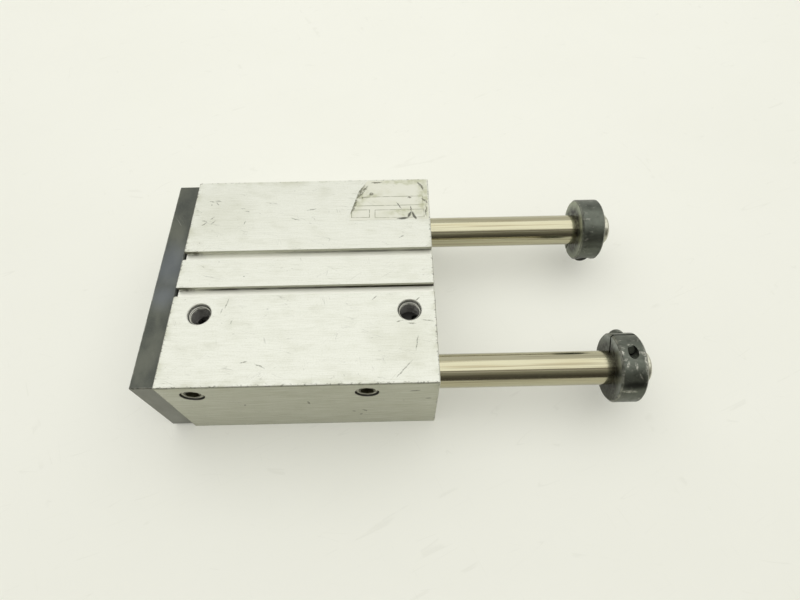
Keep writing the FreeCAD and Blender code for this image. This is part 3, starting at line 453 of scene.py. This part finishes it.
def phosphated_plate(look):
    """Ground steel plate, phosphated and oiled: dark grey, smooth, with a soft sheen and bluish patches."""
    material, tree, where = new_material("phosphated_steel_plate")
    low, high = box_mm("tool_plate")
    crystals = mottle(tree, where, 0.6)
    clouds = mottle(tree, where, (12, 22, 22), 4.0)
    blue = marks(tree, wavering(tree, where, 5, 14), [
        ((low.x + 6, 8, high.z), (0, 0, 0), (16, 26, 9)), ((low.x + 6, -14, high.z), (0, 0, 0), (14, 15, 9))],
        0.1)
    # The ends of the plate are saw cut and only lightly phosphated, so they are paler.
    across = add_node(tree, "SeparateXYZ", {0: where}).outputs[1]
    sawn = ramp(tree, from_ends(tree, across, low.y, high.y), 0.3, 0.1, 0.0, 0.9)
    rubbed = product(tree, ramp(tree, edge_distance(tree, where, low, high), 0.2, 0.9, 1.0, 0.0),
                     ramp(tree, mottle(tree, where, 4, 3.0), 0.45, 0.62, 0.05, 0.6))
    base = layered(
        tree, look.plate, (ramp(tree, clouds, 0.35, 0.68), 1, "#42453f"), (blue, 0.7, "#5f6469"),
        (sawn, 1, "#7a7b72"), (ramp(tree, crystals, 0.4, 0.7, 0.0, 0.2), 1, look.oxide),
        (rubbed, 1, look.bare), (hairlines(tree, where, 55, 3.5, 0.006, 0.35), 0.2, look.bare))
    return finish_material(
        material, base, ramp(tree, clouds, 0.3, 0.7, 0.30, 0.42), 0.55, product(tree, crystals, 0.004))


def hard_chrome(look):
    """Steel rod, ground and hard chromed: a near mirror with wipe streaks along it, faint rings round it."""
    material, tree, where = new_material("ground_hard_chrome")
    rings = mottle(tree, where, (0.6, 60, 60), 3.0)
    wipes = mottle(tree, where, (45, 3, 3), 3.0)
    streaks = mottle(tree, where, (70, 0.8, 0.8))
    base = layered(tree, look.chrome, (ramp(tree, wipes, 0.4, 0.75, 0.0, 0.3), 1, "#a89b78"),
                   (ramp(tree, streaks, 0.48, 0.7, 0.0, 0.45), 1, "#7a6f58"))
    # One line on each rod is darker brown than the rest. It runs along the rod at one Y and Z.
    shaken = wavering(tree, where, 0.25, 30)
    for y, z in ((-55.5, 41.3), (45.2, 40.3)):
        reach = axis_distance(tree, shaken, (1, 0, 0), (0, y, z))
        base = layered(tree, base, (ramp(tree, reach, 0.2, 0.55, 0.6, 0.0), 1, "#51402e"))
    # Grease and painted shade darken the rods against the collars, and the tails behind them are scuffed,
    # dull and grey.
    collar_low, collar_high = [corner.x for corner in box_mm("stop_collar_far")]
    along = add_node(tree, "SeparateXYZ", {0: where}).outputs[0]
    darkened_at_joint = product(tree, ramp(tree, along, collar_low - 5, collar_low + 1, 0.0, 0.6),
                     ramp(tree, mottle(tree, where, 2.2, 4.0), 0.35, 0.6, 0.2, 0.9))
    behind = ramp(tree, along, collar_high - 2, collar_high - 1)
    smeared = mottle(tree, where, (5, 4, 1.6), 4.0, (35, 0, 0))
    base = layered(
        tree, base, (product(tree, darkened_at_joint, ramp(tree, along, collar_high, collar_high - 2)), 1, "#4c4a3f"),
        (behind, 0.75, "#c3c3b6"), (product(tree, behind, ramp(tree, smeared, 0.5, 0.72)), 0.6, "#6b695c"),
        (product(tree, behind, specks(tree, where, 3.5, 0.5, 0.35)), 0.85, "#45433a"),
        (hairlines(tree, where, 86, 2.5, 0.010, 0.3), 0.2, "#8a8470"))
    roughness = worked(tree, "ADD", ramp(tree, streaks, 0.3, 0.7, 0.10, 0.2),
                       product(tree, worked(tree, "MAXIMUM", behind, darkened_at_joint), 0.22))
    return finish_material(material, base, roughness, 1.0, product(tree, rings, 0.0015))


# Where the collars are rubbed bright or carry painted highlights, and where painted reflection and painted
# shade darken them: middle, turn and half sizes (mm, degrees).
NEAR_RUBS_AND_HIGHLIGHTS = [
    ((190.2, -57, 51), (0, 0, 0), (1.7, 11, 7)), ((177.2, -50.9, 52.2), (0, 0, 30), (1.6, 2.6, 2)),
    ((179.6, -58, 51.3), (0, 0, -25), (1.1, 2.6, 2)), ((177.0, -62.1, 49.3), (0, 0, 0), (0.8, 2.8, 3)),
    # The long mark at (181.6, -69.6, 40.8) is a painted highlight where the barrel mirrors the floor, and the
    # one at (183.3, -46.2, 51.9) is a painted glint at the top of the clamp screw's hole.
    ((184.1, -59, 50.9), (0, 0, 15), (0.9, 3.0, 3)), ((181.6, -69.6, 40.8), (0, 0, 0), (6.5, 0.9, 1.4)),
    ((183.3, -46.2, 51.9), (0, 0, 0), (2.6, 0.8, 1.6)), ((186.5, -63.5, 48), (0, 0, 40), (0.7, 3.2, 3)),
]
FAR_RUBBED = [
    ((178.0, 44.8, 51.4), (0, 0, 0), (3.1, 0.45, 1)), ((175.6, 44.8, 51.4), (0, 0, 0), (0.6, 1.1, 1)),
    ((177.4, 34.3, 43.3), (0, 0, 20), (2.4, 1.0, 1.4)), ((180.5, 37.5, 47), (0, 0, 70), (0.4, 1.6, 1.6)),
]
# A dark band on the upper near side of the near collar's barrel is a painted reflection of the dark screen in
# front.
NEAR_DARK_REFLECTION = [((184, -67.2, 44.0), (0, 0, 0), (12, 3.0, 4.0))]
# Painted shade on the bottom of the far collar, at the seat of its clamp screw.
FAR_SEAT_SHADE = [((178.4, 32.0, 25.0), (0, 0, 0), (5, 3.2, 4.5))]
COLLAR_RADIUS = 20.2  # mm, 0.2 mm more than the real one, so that the whole rim is near an edge


def black_oxide(look, name, wear, ring=None, rubs_and_highlights=(), dark_marks=()):
    """Machined steel, blackened in hot salts and oiled: near black, rubbed bright on rims and high spots.
    Some of the given rubbed marks are painted highlights, and the given dark marks are painted shade and
    painted reflection. Ring is a collar's node, the colour of the dust and painted sheen high on its ends,
    how much of that shows low on them, and how much oil and painted shade lie low on them."""
    material, tree, where = new_material(name)
    ragged = mottle(tree, where, 2.2, 4.0)
    patches = mottle(tree, where, (8, 6, 6), 4.0)
    lathe = mottle(tree, where, (0.5, 30, 30))
    base = layered(tree, look.oxide, (ramp(tree, patches, 0.4, 0.75, 0.0, 0.7), 1, "#3d3f39"))
    rubbed = product(tree, ramp(tree, ragged, 0.66 - wear * 0.18, 0.74), ramp(tree, patches, 0.42, 0.66))
    darkened_at_joint = 0.0
    if ring:
        node, dust, low_dust_and_sheen, oil = ring
        low, high = box_mm(node)
        along, _, height = add_node(tree, "SeparateXYZ", {0: where}).outputs
        along = from_ends(tree, along, low.x, high.x)
        out = axis_distance(tree, where, (1, 0, 0), (low + high) / 2)
        edge = worked(tree, "MAXIMUM", along, worked(tree, "SUBTRACT", COLLAR_RADIUS, out))
        at_rim = product(tree, ramp(tree, edge, 0.5, 1.4, 1.0, 0.0),
                         ramp(tree, ragged, 0.35, 0.62, 0.1, 0.7))
        rubbed = worked(tree, "MAXIMUM", rubbed, at_rim)
        smeared = mottle(tree, where, (4, 3, 3), 4.0)
        darkened_at_joint = product(tree, ramp(tree, out, 18.6, 12.6), ramp(tree, smeared, 0.3, 0.6, 0.45, 1.0))
        # High on the ends, dust and painted sheen lighten them; low down, oil and painted shade darken them.
        up = ramp(tree, height, 22, 46, low_dust_and_sheen, 1.0)
        dust_and_sheen = product(tree, ramp(tree, along, 0.15, 0.05), up, ramp(tree, patches, 0.3, 0.6, 0.5, 1.0))
        oily_and_shaded = product(tree, ramp(tree, along, 0.5, 0.1), worked(tree, "SUBTRACT", 1.0, up))
        base = layered(tree, base, (dust_and_sheen, 1, dust), (oily_and_shaded, oil, "#2d2d20"))
    rubbed = worked(tree, "MAXIMUM", rubbed, product(tree, hairlines(tree, where, 20, 2.6, 0.014, 0.5), 0.7))
    if rubs_and_highlights:
        # The given rubbed marks are scuffs, and on the near collar two are painted highlights.
        broken = ramp(tree, mottle(tree, where, 0.9, 3.0), 0.38, 0.6, 0.15, 1.0)
        scuffs_and_highlights = product(tree, marks(tree, wavering(tree, where, 0.9, 3), rubs_and_highlights, 0.3), broken, 1.2)
        rubbed = worked(tree, "MAXIMUM", rubbed, scuffs_and_highlights)
    base = layered(tree, base, (rubbed, 0.35 + wear * 0.4, look.bare), (darkened_at_joint, 1, "#2b2b25"))
    # The given dark marks are painted shade and painted reflection, near black.
    if dark_marks:
        base = layered(tree, base, (marks(tree, wavering(tree, where, 0.6, 3), dark_marks, 0.2), 0.8, "#161614"))
    height = worked(tree, "SUBTRACT", product(tree, lathe, 0.006), product(tree, rubbed, 0.02))
    return finish_material(material, base, ramp(tree, ragged, 0.3, 0.7, 0.3, 0.48), 0.85, height)


def zinc_plate(name, plugs=()):
    """Zinc plated steel plugs, tarnished grey. Dirt and painted shade fill their hexagons and the groove
    round them.
    """
    material, tree, where = new_material(name)
    tarnish = mottle(tree, where, 2, 4.0)
    base = layered(tree, "#c4c3b4", (ramp(tree, tarnish, 0.4, 0.7), 1, "#8f8e80"))
    if plugs:
        face = box_mm("side_port_plugs")[0].y
        inward = worked(tree, "SUBTRACT", add_node(tree, "SeparateXYZ", {0: where}).outputs[1], face)
        ring, hexagon = [
            marks(tree, wavering(tree, where, shake, size),
                  [((x, face, z + up), (0, 0, 0), (reach, 60, reach)) for x, z in plugs], core)
            for shake, size, up, reach, core in ((0.2, 2, 0, 5.9, 0.92), (0.3, 1.5, 0.3, 4.9, 0.9))]
        bright = product(tree, ring, worked(tree, "SUBTRACT", 1.0, hexagon), ramp(tree, inward, 0.6, 0.1))
        # Soil and painted shade darken all but the plated ring between the groove and the hexagon.
        base = layered(tree, "#504e3a", (bright, 1, base))
    return finish_material(
        material, base, ramp(tree, tarnish, 0.3, 0.7, 0.3, 0.5), 0.6, product(tree, tarnish, 0.03))


def spring_steel():
    """Stamped spring steel, phosphated: dull dark grey-brown with a fine grain."""
    material, tree, where = new_material("phosphated_spring_steel")
    grain = mottle(tree, where, 0.4, 3.0)
    base = layered(tree, "#45433d", (ramp(tree, mottle(tree, where, 6, 3.0), 0.4, 0.7), 1, "#6b675c"))
    return finish_material(
        material, base, ramp(tree, grain, 0.3, 0.7, 0.38, 0.55), 0.8, product(tree, grain, 0.01))


def sintered_bronze():
    """Pressed bronze powder soaked in oil: dull gold with dark open pores."""
    material, tree, where = new_material("sintered_bronze")
    pores = specks(tree, where, 0.5, 0.16, 0.7)
    clouds = mottle(tree, where, 5, 3.0)
    base = layered(tree, "#a9834b", (ramp(tree, clouds, 0.4, 0.7), 1, "#8a6a3c"), (pores, 0.7, "#3b2c1a"))
    return finish_material(
        material, base, ramp(tree, clouds, 0.3, 0.7, 0.35, 0.5), 0.9, product(tree, pores, -0.03))


def moulded(name, first, second, roughness, speckle=0.0):
    """Moulded or pressed polymer: even colour, faint flow clouds and a fine dull skin."""
    material, tree, where = new_material(name)
    skin = mottle(tree, where, 0.3)
    base = layered(tree, first, (ramp(tree, mottle(tree, where, 5, 3.0), 0.35, 0.7), 1, second))
    if speckle:
        base = layered(tree, base, (specks(tree, where, 0.6, 0.14, 0.5), speckle, "#8c8c88"))
    dulled = ramp(tree, skin, 0.3, 0.7, roughness - 0.06, roughness + 0.08)
    return finish_material(material, base, dulled, 0.0, product(tree, skin, 0.008))


def label_film(look, boxes, corner):
    """Thin printed polyester film: pale, satin, with thin ruled boxes, creases and dirt in its torn edges."""
    material, tree, where = new_material("printed_label_film")
    parts = add_node(tree, "SeparateXYZ", {0: wavering(tree, where, 0.06, 4)}).outputs
    outlines = []
    for x0, x1, y0, y1 in boxes:
        reaches = []
        for part, start, end in ((parts[0], x0, x1), (parts[1], y0, y1)):
            offset = worked(tree, "SUBTRACT", part, (start + end) / 2)
            reaches.append(worked(tree, "SUBTRACT", worked(tree, "ABSOLUTE", offset), (end - start) / 2))
        outlines.append(worked(tree, "ABSOLUTE", worked(tree, "MAXIMUM", *reaches)))
    faded = ramp(tree, mottle(tree, where, (4, 3, 3), 3.0), 0.3, 0.55, 0.25, 0.9)
    inked = product(tree, ramp(tree, worked(tree, "MINIMUM", *outlines), 0.12, 0.32, 1.0, 0.0), faded)
    clouds = mottle(tree, where, (10, 7, 7), 4.0)
    x, y, z = corner
    # Thin olive stains spread from the right edge, dark dirt sits in the tear and in the dents.
    stains = marks(tree, wavering(tree, where, 2.5, 6), lying(z, [
        (x - 2, y - 16, 90, 28, 7), (x - 14, y - 1, 0, 26, 4), (x - 16, y - 27, 0, 16, 4),
        (30, 54, 70, 18, 6), (38, 57, 10, 9, 3)]), 0.2)
    mottled = ramp(tree, mottle(tree, where, 3, 4.0), 0.35, 0.65, 0.2, 0.8)
    dark_marks = marks(tree, wavering(tree, wavering(tree, where, 1.1, 4), 0.8, 1.2), lying(z, [
        (29.8, 59, 66, 11, 1.9), (26.8, 49.5, 74, 9.5, 1.5), (32.6, 60.5, 60, 7.5, 0.8),
        (37.6, 58.3, 20, 2.0, 1.6), (33.5, 55.5, 10, 4.5, 0.6), (69.5, 64.5, -60, 5, 1.0),
        (71.5, 52, -50, 3.6, 0.9), (41, 68, 5, 5, 0.7), (62, 54.8, 0, 1.6, 1.0), (72.2, 44, 90, 6, 0.6)]))
    crumbs = product(tree, ramp(tree, mottle(tree, where, 1.2, 4.0), 0.3, 0.55, 0.25, 1.0), 0.85)
    tears = marks(tree, wavering(tree, wavering(tree, where, 0.5, 3), 0.5, 1), lying(z, [
        (64.4, 40.0, 112, 4.6, 1.0), (61.6, 40.9, 66, 3.4, 1.1), (57.4, 37.9, 4, 4.6, 0.95),
        (55.2, 48.4, -60, 4, 0.35), (62.6, 45.5, 95, 3.2, 0.4)]))
    base = layered(
        tree, look.film, (ramp(tree, clouds, 0.45, 0.75, 0.0, 0.35), 1, "#c9caaf"), (inked, 1, look.rule),
        (product(tree, stains, mottled), 1, "#b4b694"), (product(tree, dark_marks, crumbs), 1, look.soil),
        (tears, 0.9, "#3d3e2f"), (hairlines(tree, where, 35, 2.4, 0.010, 0.45), 0.3, look.rule))
    height = worked(tree, "SUBTRACT", product(tree, clouds, 0.05), product(tree, tears, 0.05))
    return finish_material(material, base, ramp(tree, clouds, 0.3, 0.7, 0.32, 0.45), 0.0, height)


def table_top(look):
    """Painted board: pale and matt, with a few faint scratches and scuffs."""
    material, tree, where = new_material("painted_table_top")
    clouds = mottle(tree, where, (160, 120, 120), 3.0)
    base = layered(tree, look.floor, (ramp(tree, clouds, 0.35, 0.7, 0.0, 0.25), 1, "#ecece0"))
    for turn, spacing, width, share in ((-24, 16, 0.004, 0.5), (63, 22, 0.003, 0.45), (8, 12, 0.005, 0.4)):
        base = layered(tree, base, (hairlines(tree, where, turn, spacing, width, share), 0.1, "#a8a894"))
    relief = add_node(tree, "Bump", {"Height": product(tree, clouds, 0.02), "Distance": MM})
    board = add_node(tree, "BsdfPrincipled", {"Base Color": base, "Roughness": 0.6, "Normal": relief})
    # Seen by the camera or in metal, a part of the board is plain colour, so its shadows are no deeper than
    # under a larger light. Its light on the cylinder stays that of the board.
    ray = add_node(tree, "LightPath").outputs
    seen = worked(tree, "MAXIMUM", *[ray[f"Is {kind} Ray"] for kind in ("Camera", "Glossy", "Transmission")])
    plain = add_node(tree, "Emission", {"Color": paint(look.floor), "Strength": 0.98})
    surface = add_node(tree, "MixShader", {0: product(tree, seen, look.plain_share), 1: board, 2: plain})
    add_node(tree, "OutputMaterial", {"Surface": surface})
    return material


def grey_cloth(look):
    """Woven studio cloth: matt, with painted shade that darkens it towards the floor and in long hanging
    creases.
    """
    material, tree, where = new_material("grey_cloth_screen")
    up = add_node(tree, "SeparateXYZ", {0: where}).outputs[2]
    fold_shade = mottle(tree, where, (60, 60, 900))
    base = layered(tree, look.screen, (ramp(tree, up, 300, 1500), 1, "#c4c4bd"),
                   (ramp(tree, fold_shade, 0.4, 0.7, 0.0, 0.2), 1, "#4a4a46"))
    return finish_material(material, base, 0.9, 0.0)


def dress(names, material):
    """Give CAD nodes a finish in every material slot."""
    for name in names:
        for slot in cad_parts[name].material_slots:
            slot.material = material


# ---- new pieces

def deselect_all():
    if bpy.context.mode != "OBJECT":
        bpy.ops.object.mode_set(mode="OBJECT")
    bpy.ops.object.select_all(action="DESELECT")


def settle(piece, name, body, material):
    """Apply a new piece's place to its mesh, name it, give it its finish and put it on its body."""
    deselect_all()
    piece.select_set(True)
    bpy.context.view_layer.objects.active = piece
    bpy.ops.object.transform_apply()
    bpy.ops.object.shade_smooth_by_angle(angle=radians(35))
    piece.name = piece.data.name = name
    piece.data.materials.clear()
    piece.data.materials.append(material)
    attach(piece, body)


def start_editing():
    """Enter edit mode with the whole mesh selected."""
    bpy.ops.object.mode_set(mode="EDIT")
    bpy.ops.mesh.select_all(action="SELECT")


def stop_editing():
    """Turn all faces outwards and leave edit mode."""
    bpy.ops.mesh.select_all(action="SELECT")
    bpy.ops.mesh.normals_make_consistent(inside=False)
    bpy.ops.object.mode_set(mode="OBJECT")


def thread_ridge(radius, height, pitch, turns):
    """The ridge of an internal thread, wound up the Z axis from zero and closed at both ends."""
    steps = 40  # in a turn
    foot = 0.72  # width of the ridge where it meets the wall, as a share of the pitch
    corner_radius = height / 1.5  # a triangle is as high as one and a half times this, and its side is:
    side = 3 ** 0.5 * corner_radius
    deselect_all()
    bpy.ops.mesh.primitive_circle_add(vertices=3, radius=corner_radius, fill_type="NGON",
                                      location=(radius - height + corner_radius, 0, pitch / 2),
                                      rotation=(radians(90), radians(-90), 0))
    ridge = bpy.context.object
    bpy.ops.object.transform_apply()
    start_editing()
    bpy.ops.transform.resize(value=(1, 1, foot * pitch / side), center_override=(radius, 0, pitch / 2))
    bpy.ops.object.mode_set(mode="OBJECT")
    winding = ridge.modifiers.new("winding", "SCREW")
    winding.axis = "Z"
    winding.screw_offset = pitch
    winding.iterations = int(turns)
    winding.steps = winding.render_steps = steps
    winding.use_merge_vertices = False
    bpy.ops.object.modifier_apply(modifier=winding.name)
    start_editing()
    bpy.ops.mesh.remove_doubles(threshold=1e-6)
    bpy.ops.mesh.fill_holes(sides=3)
    stop_editing()
    return ridge


def copy_to(piece, place):
    """A copy of a piece with a mesh of its own, its Z axis turned and moved to a place."""
    twin = piece.copy()
    twin.data = piece.data.copy()
    bpy.context.collection.objects.link(twin)
    twin.matrix_world = place
    return twin


class CYLINDER_OT_block(bpy.types.Operator):
    """Finish the extruded block"""
    bl_idname = "cylinder.block"
    bl_label = "Block"

    def execute(self, context):
        dress(["cylinder_body"], anodised_aluminium(context.scene.block_look))
        return {"FINISHED"}


class CYLINDER_OT_threads(bpy.types.Operator):
    """Cut the threads that show in the ports and in the tapped holes"""
    bl_idname = "cylinder.threads"
    bl_label = "Threads"

    def execute(self, context):
        sizes, look = context.scene.thread_sizes, context.scene.block_look
        low, high = box_mm("cylinder_body")
        plate_x = box_mm("tool_plate")[0].x
        axis_height = (low.z + high.z) / 2
        port = (sizes.port_radius, sizes.port_height, sizes.port_pitch)
        hole = (sizes.hole_radius, sizes.hole_height, sizes.hole_pitch)
        port_start = high.z - 0.6 - (sizes.port_turns + 1) * sizes.port_pitch / MM
        upright, level = (0, 0, 1), (1, 0, 0)
        # What each kind is called, its size and turns, its direction and where its threads start (mm).
        for names, size, turns, direction, starts, body, slot in (
                (["front_port_thread", "rear_port_thread"], port, sizes.port_turns, upright,
                 [(x, TOP_PORTS_Y, port_start) for x in TOP_PORTS_X], HOUSING, "anodised_aluminium"),
                ([f"mounting_thread_{number}" for number in range(1, 5)], hole, 11, upright,
                 [(x, y, low.z + 0.5) for x in (-40, 40) for y in (-31, 31)], HOUSING,
                 "anodised_aluminium"),
                ([f"tool_thread_{number}" for number in range(1, 5)], hole, 9, level,
                 [(plate_x + 0.4, y, axis_height + up) for y in (-30, 30) for up in (-20, 20)], CARRIAGE,
                 "dark_steel")):
            model = thread_ridge(*size, turns)
            turn = Matrix.Rotation(pi / 2 if direction == level else 0, 4, "Y")
            material = cut_thread(look, *size[:2], [(direction, start) for start in starts])
            for name, start in zip(names, starts):
                place = Matrix.Translation(Vector(start) * MM) @ turn
                settle(copy_to(model, place), name, body, material)
            bpy.data.objects.remove(model)
        return {"FINISHED"}


class CYLINDER_OT_label(bpy.types.Operator):
    """Lay the worn film label, with empty ruled boxes and a torn corner, on top of the block"""
    bl_idname = "cylinder.label"
    bl_label = "Label"

    def execute(self, context):
        look = context.scene.label_look
        low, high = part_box("cylinder_body")
        right, back = high.x - 0.9 * MM, high.y - 1.2 * MM
        left, front = 24.3 * MM, 37.1 * MM
        deselect_all()
        bpy.ops.mesh.primitive_plane_add(size=1, location=((left + right) / 2, (front + back) / 2, high.z))
        film = bpy.context.object
        film.scale = (right - left, back - front, 1)
        bpy.ops.object.transform_apply()
        start_editing()
        # The torn corner, in two cuts.
        for point, normal in (((24.6, 43, 0), (-1, 0.28, 0)), ((29, 60, 0), (-1, 0.62, 0))):
            bpy.ops.mesh.select_all(action="SELECT")
            bpy.ops.mesh.bisect(plane_co=[part * MM for part in point], plane_no=normal, clear_outer=True,
                                use_fill=False)
        bpy.ops.mesh.select_all(action="SELECT")
        bpy.ops.mesh.bevel(offset=0.6 * MM, segments=3, affect="VERTICES")
        bpy.ops.mesh.select_all(action="SELECT")
        bpy.ops.mesh.extrude_region_move(TRANSFORM_OT_translate={"value": (0, 0, look.thickness)})
        stop_editing()
        boxes = [(27.6, 70.4, 48.6, 55.9), (25.4, 36.6, 39.2, 45.3), (40.1, 70.8, 38.7, 45.0)]
        material = label_film(look, boxes, (right / MM, back / MM, high.z / MM))
        settle(film, "label_film", HOUSING, material)
        return {"FINISHED"}


class CYLINDER_OT_fittings(bpy.types.Operator):
    """Finish the plugs, the stopper, the gland and the cap with their rings"""
    bl_idname = "cylinder.fittings"
    bl_label = "Plugs, gland and cap"

    def execute(self, context):
        look = context.scene.block_look
        dress(["side_port_plugs"], zinc_plate("zinc_plated_plug", [(x, SIDE_PORTS_Z) for x in SIDE_PORTS_X]))
        dress(["gallery_stopper"], zinc_plate("zinc_plated_stopper"))
        dress(["front_gland", "rear_cap", "piston"], turned_aluminium(look))
        dress(["gland_retaining_ring", "cap_retaining_ring"], spring_steel())
        return {"FINISHED"}


class CYLINDER_OT_seals(bpy.types.Operator):
    """Finish seals, bushes, bumpers, wear ring and magnet"""
    bl_idname = "cylinder.seals"
    bl_label = "Seals and bushes"

    def execute(self, context):
        nitrile = moulded("moulded_nitrile_rubber", "#1c1c1b", "#2a2a28", 0.55)
        dress(["gland_o_ring", "cap_o_ring", "piston_o_ring", "piston_seal_front", "piston_seal_rear"]
              + [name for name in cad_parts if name.startswith("guide_wiper_")], nitrile)
        polyurethane = moulded("cast_polyurethane", "#6b6134", "#585028", 0.35)
        dress(["rod_wiper", "rod_seal", "front_bumper", "rear_bumper"], polyurethane)
        dress(["rod_bush"] + [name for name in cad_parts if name.startswith("guide_bush_")],
              sintered_bronze())
        dress(["wear_ring"], moulded("filled_acetal", "#3a352f", "#2e2a26", 0.45))
        dress(["magnet_ring"], moulded("bonded_ferrite", "#2b2c2e", "#222325", 0.6, 0.5))
        return {"FINISHED"}


class CYLINDER_OT_plate(bpy.types.Operator):
    """Finish the tool plate and its screws"""
    bl_idname = "cylinder.plate"
    bl_label = "Tool plate"

    def execute(self, context):
        look = context.scene.moving_look
        dress(["tool_plate"], phosphated_plate(look))
        dress(["plate_screws", "piston_screw"], black_oxide(look, "black_oxide_screws", 0.1))
        return {"FINISHED"}


class CYLINDER_OT_rods(bpy.types.Operator):
    """Finish the guide rods and the piston rod"""
    bl_idname = "cylinder.rods"
    bl_label = "Rods"

    def execute(self, context):
        dress(["guide_rod_near", "guide_rod_far", "piston_rod"], hard_chrome(context.scene.moving_look))
        return {"FINISHED"}


class CYLINDER_OT_collars(bpy.types.Operator):
    """Finish the stop collars and their clamp screws"""
    bl_idname = "cylinder.collars"
    bl_label = "Stop collars"

    def execute(self, context):
        look = context.scene.moving_look
        # Each collar: its name, its wear, the colour of its dust and painted sheen with how much shows low
        # down and how much oil and painted shade lie low, its rubbed marks and painted highlights, and its
        # dark marks.
        for name, wear, ends, rubs_and_highlights, dark_marks in (
                ("stop_collar_near", 0.9, ("#8f9490", 0.1, 0.9), NEAR_RUBS_AND_HIGHLIGHTS, NEAR_DARK_REFLECTION),
                ("stop_collar_far", 0.45, ("#9ba18f", 0.6, 0.2), FAR_RUBBED, FAR_SEAT_SHADE)):
            dress([name], black_oxide(look, f"black_oxide_{name}", wear, (name, *ends), rubs_and_highlights, dark_marks))
        # The far clamp screw hangs below its collar, and painted shade darkens it there.
        oiled = [((box_mm("stop_collar_far")[0].x + 7.5, 36, 17), (0, 0, 0), (12, 20, 12))]
        dress(["collar_clamp_screws"], black_oxide(look, "black_oxide_clamp_screws", 0.5, dark_marks=oiled))
        return {"FINISHED"}


class CYLINDER_OT_stage(bpy.types.Operator):
    """Add the table top, the soft studio light and the camera"""
    bl_idname = "cylinder.stage"
    bl_label = "Stage"

    def execute(self, context):
        look = context.scene.stage_look
        scene = context.scene
        deselect_all()
        bpy.ops.mesh.primitive_plane_add(size=6, location=(0, 0, CAD_BOX[0][2] - 0.0002))
        floor = context.object
        floor.name = "table_top"
        floor.data.materials.append(table_top(look))

        # Grey screens in front of the table and at its ends. Nothing but the light and the metal sees them.
        cloth = grey_cloth(look)
        for name, place, turn, width, height in (("front_screen", (0.05, -1.05), 0, 3.6, 1.5),
                                                 ("left_screen", (-1.3, 0.0), 90, 2.1, 1.2),
                                                 ("right_screen", (1.4, 0.0), 90, 2.1, 1.2)):
            deselect_all()
            bpy.ops.mesh.primitive_plane_add(size=1, location=(*place, height / 2),
                                             rotation=(radians(90), 0, radians(turn)))
            screen = context.object
            screen.name = name
            screen.scale = (width, height, 1)
            bpy.ops.object.transform_apply()
            screen.data.materials.append(cloth)
            screen.visible_camera = False

        world = scene.world or bpy.data.worlds.new("studio")
        scene.world = world
        world.use_nodes = True
        sky = world.node_tree
        sky.nodes.clear()
        add_node(sky, "OutputWorld", {"Surface": add_node(sky, "Background", {
            "Color": paint("#fffffa"), "Strength": 0.84})})

        bpy.ops.object.light_add(type="AREA", location=(0.05, 0.35, 1.5))
        lamp = context.object
        lamp.name = "soft_box"
        lamp.data.shape = "RECTANGLE"
        lamp.data.size, lamp.data.size_y = 4.0, 2.0
        lamp.data.energy = look.lamp_power

        down, turn, roll = look.depression, look.yaw, look.roll
        forward = Vector((sin(turn) * cos(down), cos(turn) * cos(down), -sin(down)))
        right = Vector((cos(turn), -sin(turn), 0))
        below = forward.cross(right)
        right, below = cos(roll) * right + sin(roll) * below, cos(roll) * below - sin(roll) * right
        bpy.ops.object.camera_add(location=look.place)
        camera = context.object
        camera.matrix_world = Matrix.Translation(look.place) @ Matrix(
            (right, -below, -forward)).transposed().to_4x4()
        camera.data.lens = look.lens
        camera.data.sensor_width = 36.0
        camera.data.clip_start = 0.01
        camera.data.dof.use_dof = False
        scene.camera = camera
        scene.view_settings.view_transform = "Standard"
        return {"FINISHED"}


OPERATORS = (CYLINDER_OT_block, CYLINDER_OT_threads, CYLINDER_OT_label, CYLINDER_OT_fittings,
             CYLINDER_OT_seals, CYLINDER_OT_plate, CYLINDER_OT_rods, CYLINDER_OT_collars,
             CYLINDER_OT_stage)
SETTINGS = {"block_look": BlockLook, "thread_sizes": ThreadSizes, "label_look": LabelLook,
            "moving_look": MovingLook, "stage_look": StageLook}


class CYLINDER_PT_panel(bpy.types.Panel):
    """Lists the pieces and the stage"""
    bl_idname = "CYLINDER_PT_panel"
    bl_label = "Guided cylinder"
    bl_space_type = "VIEW_3D"
    bl_region_type = "UI"
    bl_category = "Cylinder"

    def draw(self, context):
        for operator in OPERATORS:
            self.layout.operator(operator.bl_idname)
        for name, group in SETTINGS.items():
            box = self.layout.box()
            for setting in group.__annotations__:
                box.prop(getattr(context.scene, name), setting)


CLASSES = (*SETTINGS.values(), *OPERATORS, CYLINDER_PT_panel)


def register():
    for item in CLASSES:
        bpy.utils.register_class(item)
    for name, group in SETTINGS.items():
        setattr(bpy.types.Scene, name, PointerProperty(type=group))


def unregister():
    for name in SETTINGS:
        delattr(bpy.types.Scene, name)
    for item in reversed(CLASSES):
        bpy.utils.unregister_class(item)


def main():
    register()
    for operator in OPERATORS:
        group, name = operator.bl_idname.split(".")
        getattr(getattr(bpy.ops, group), name)()


if __name__ == "__main__":
    main()
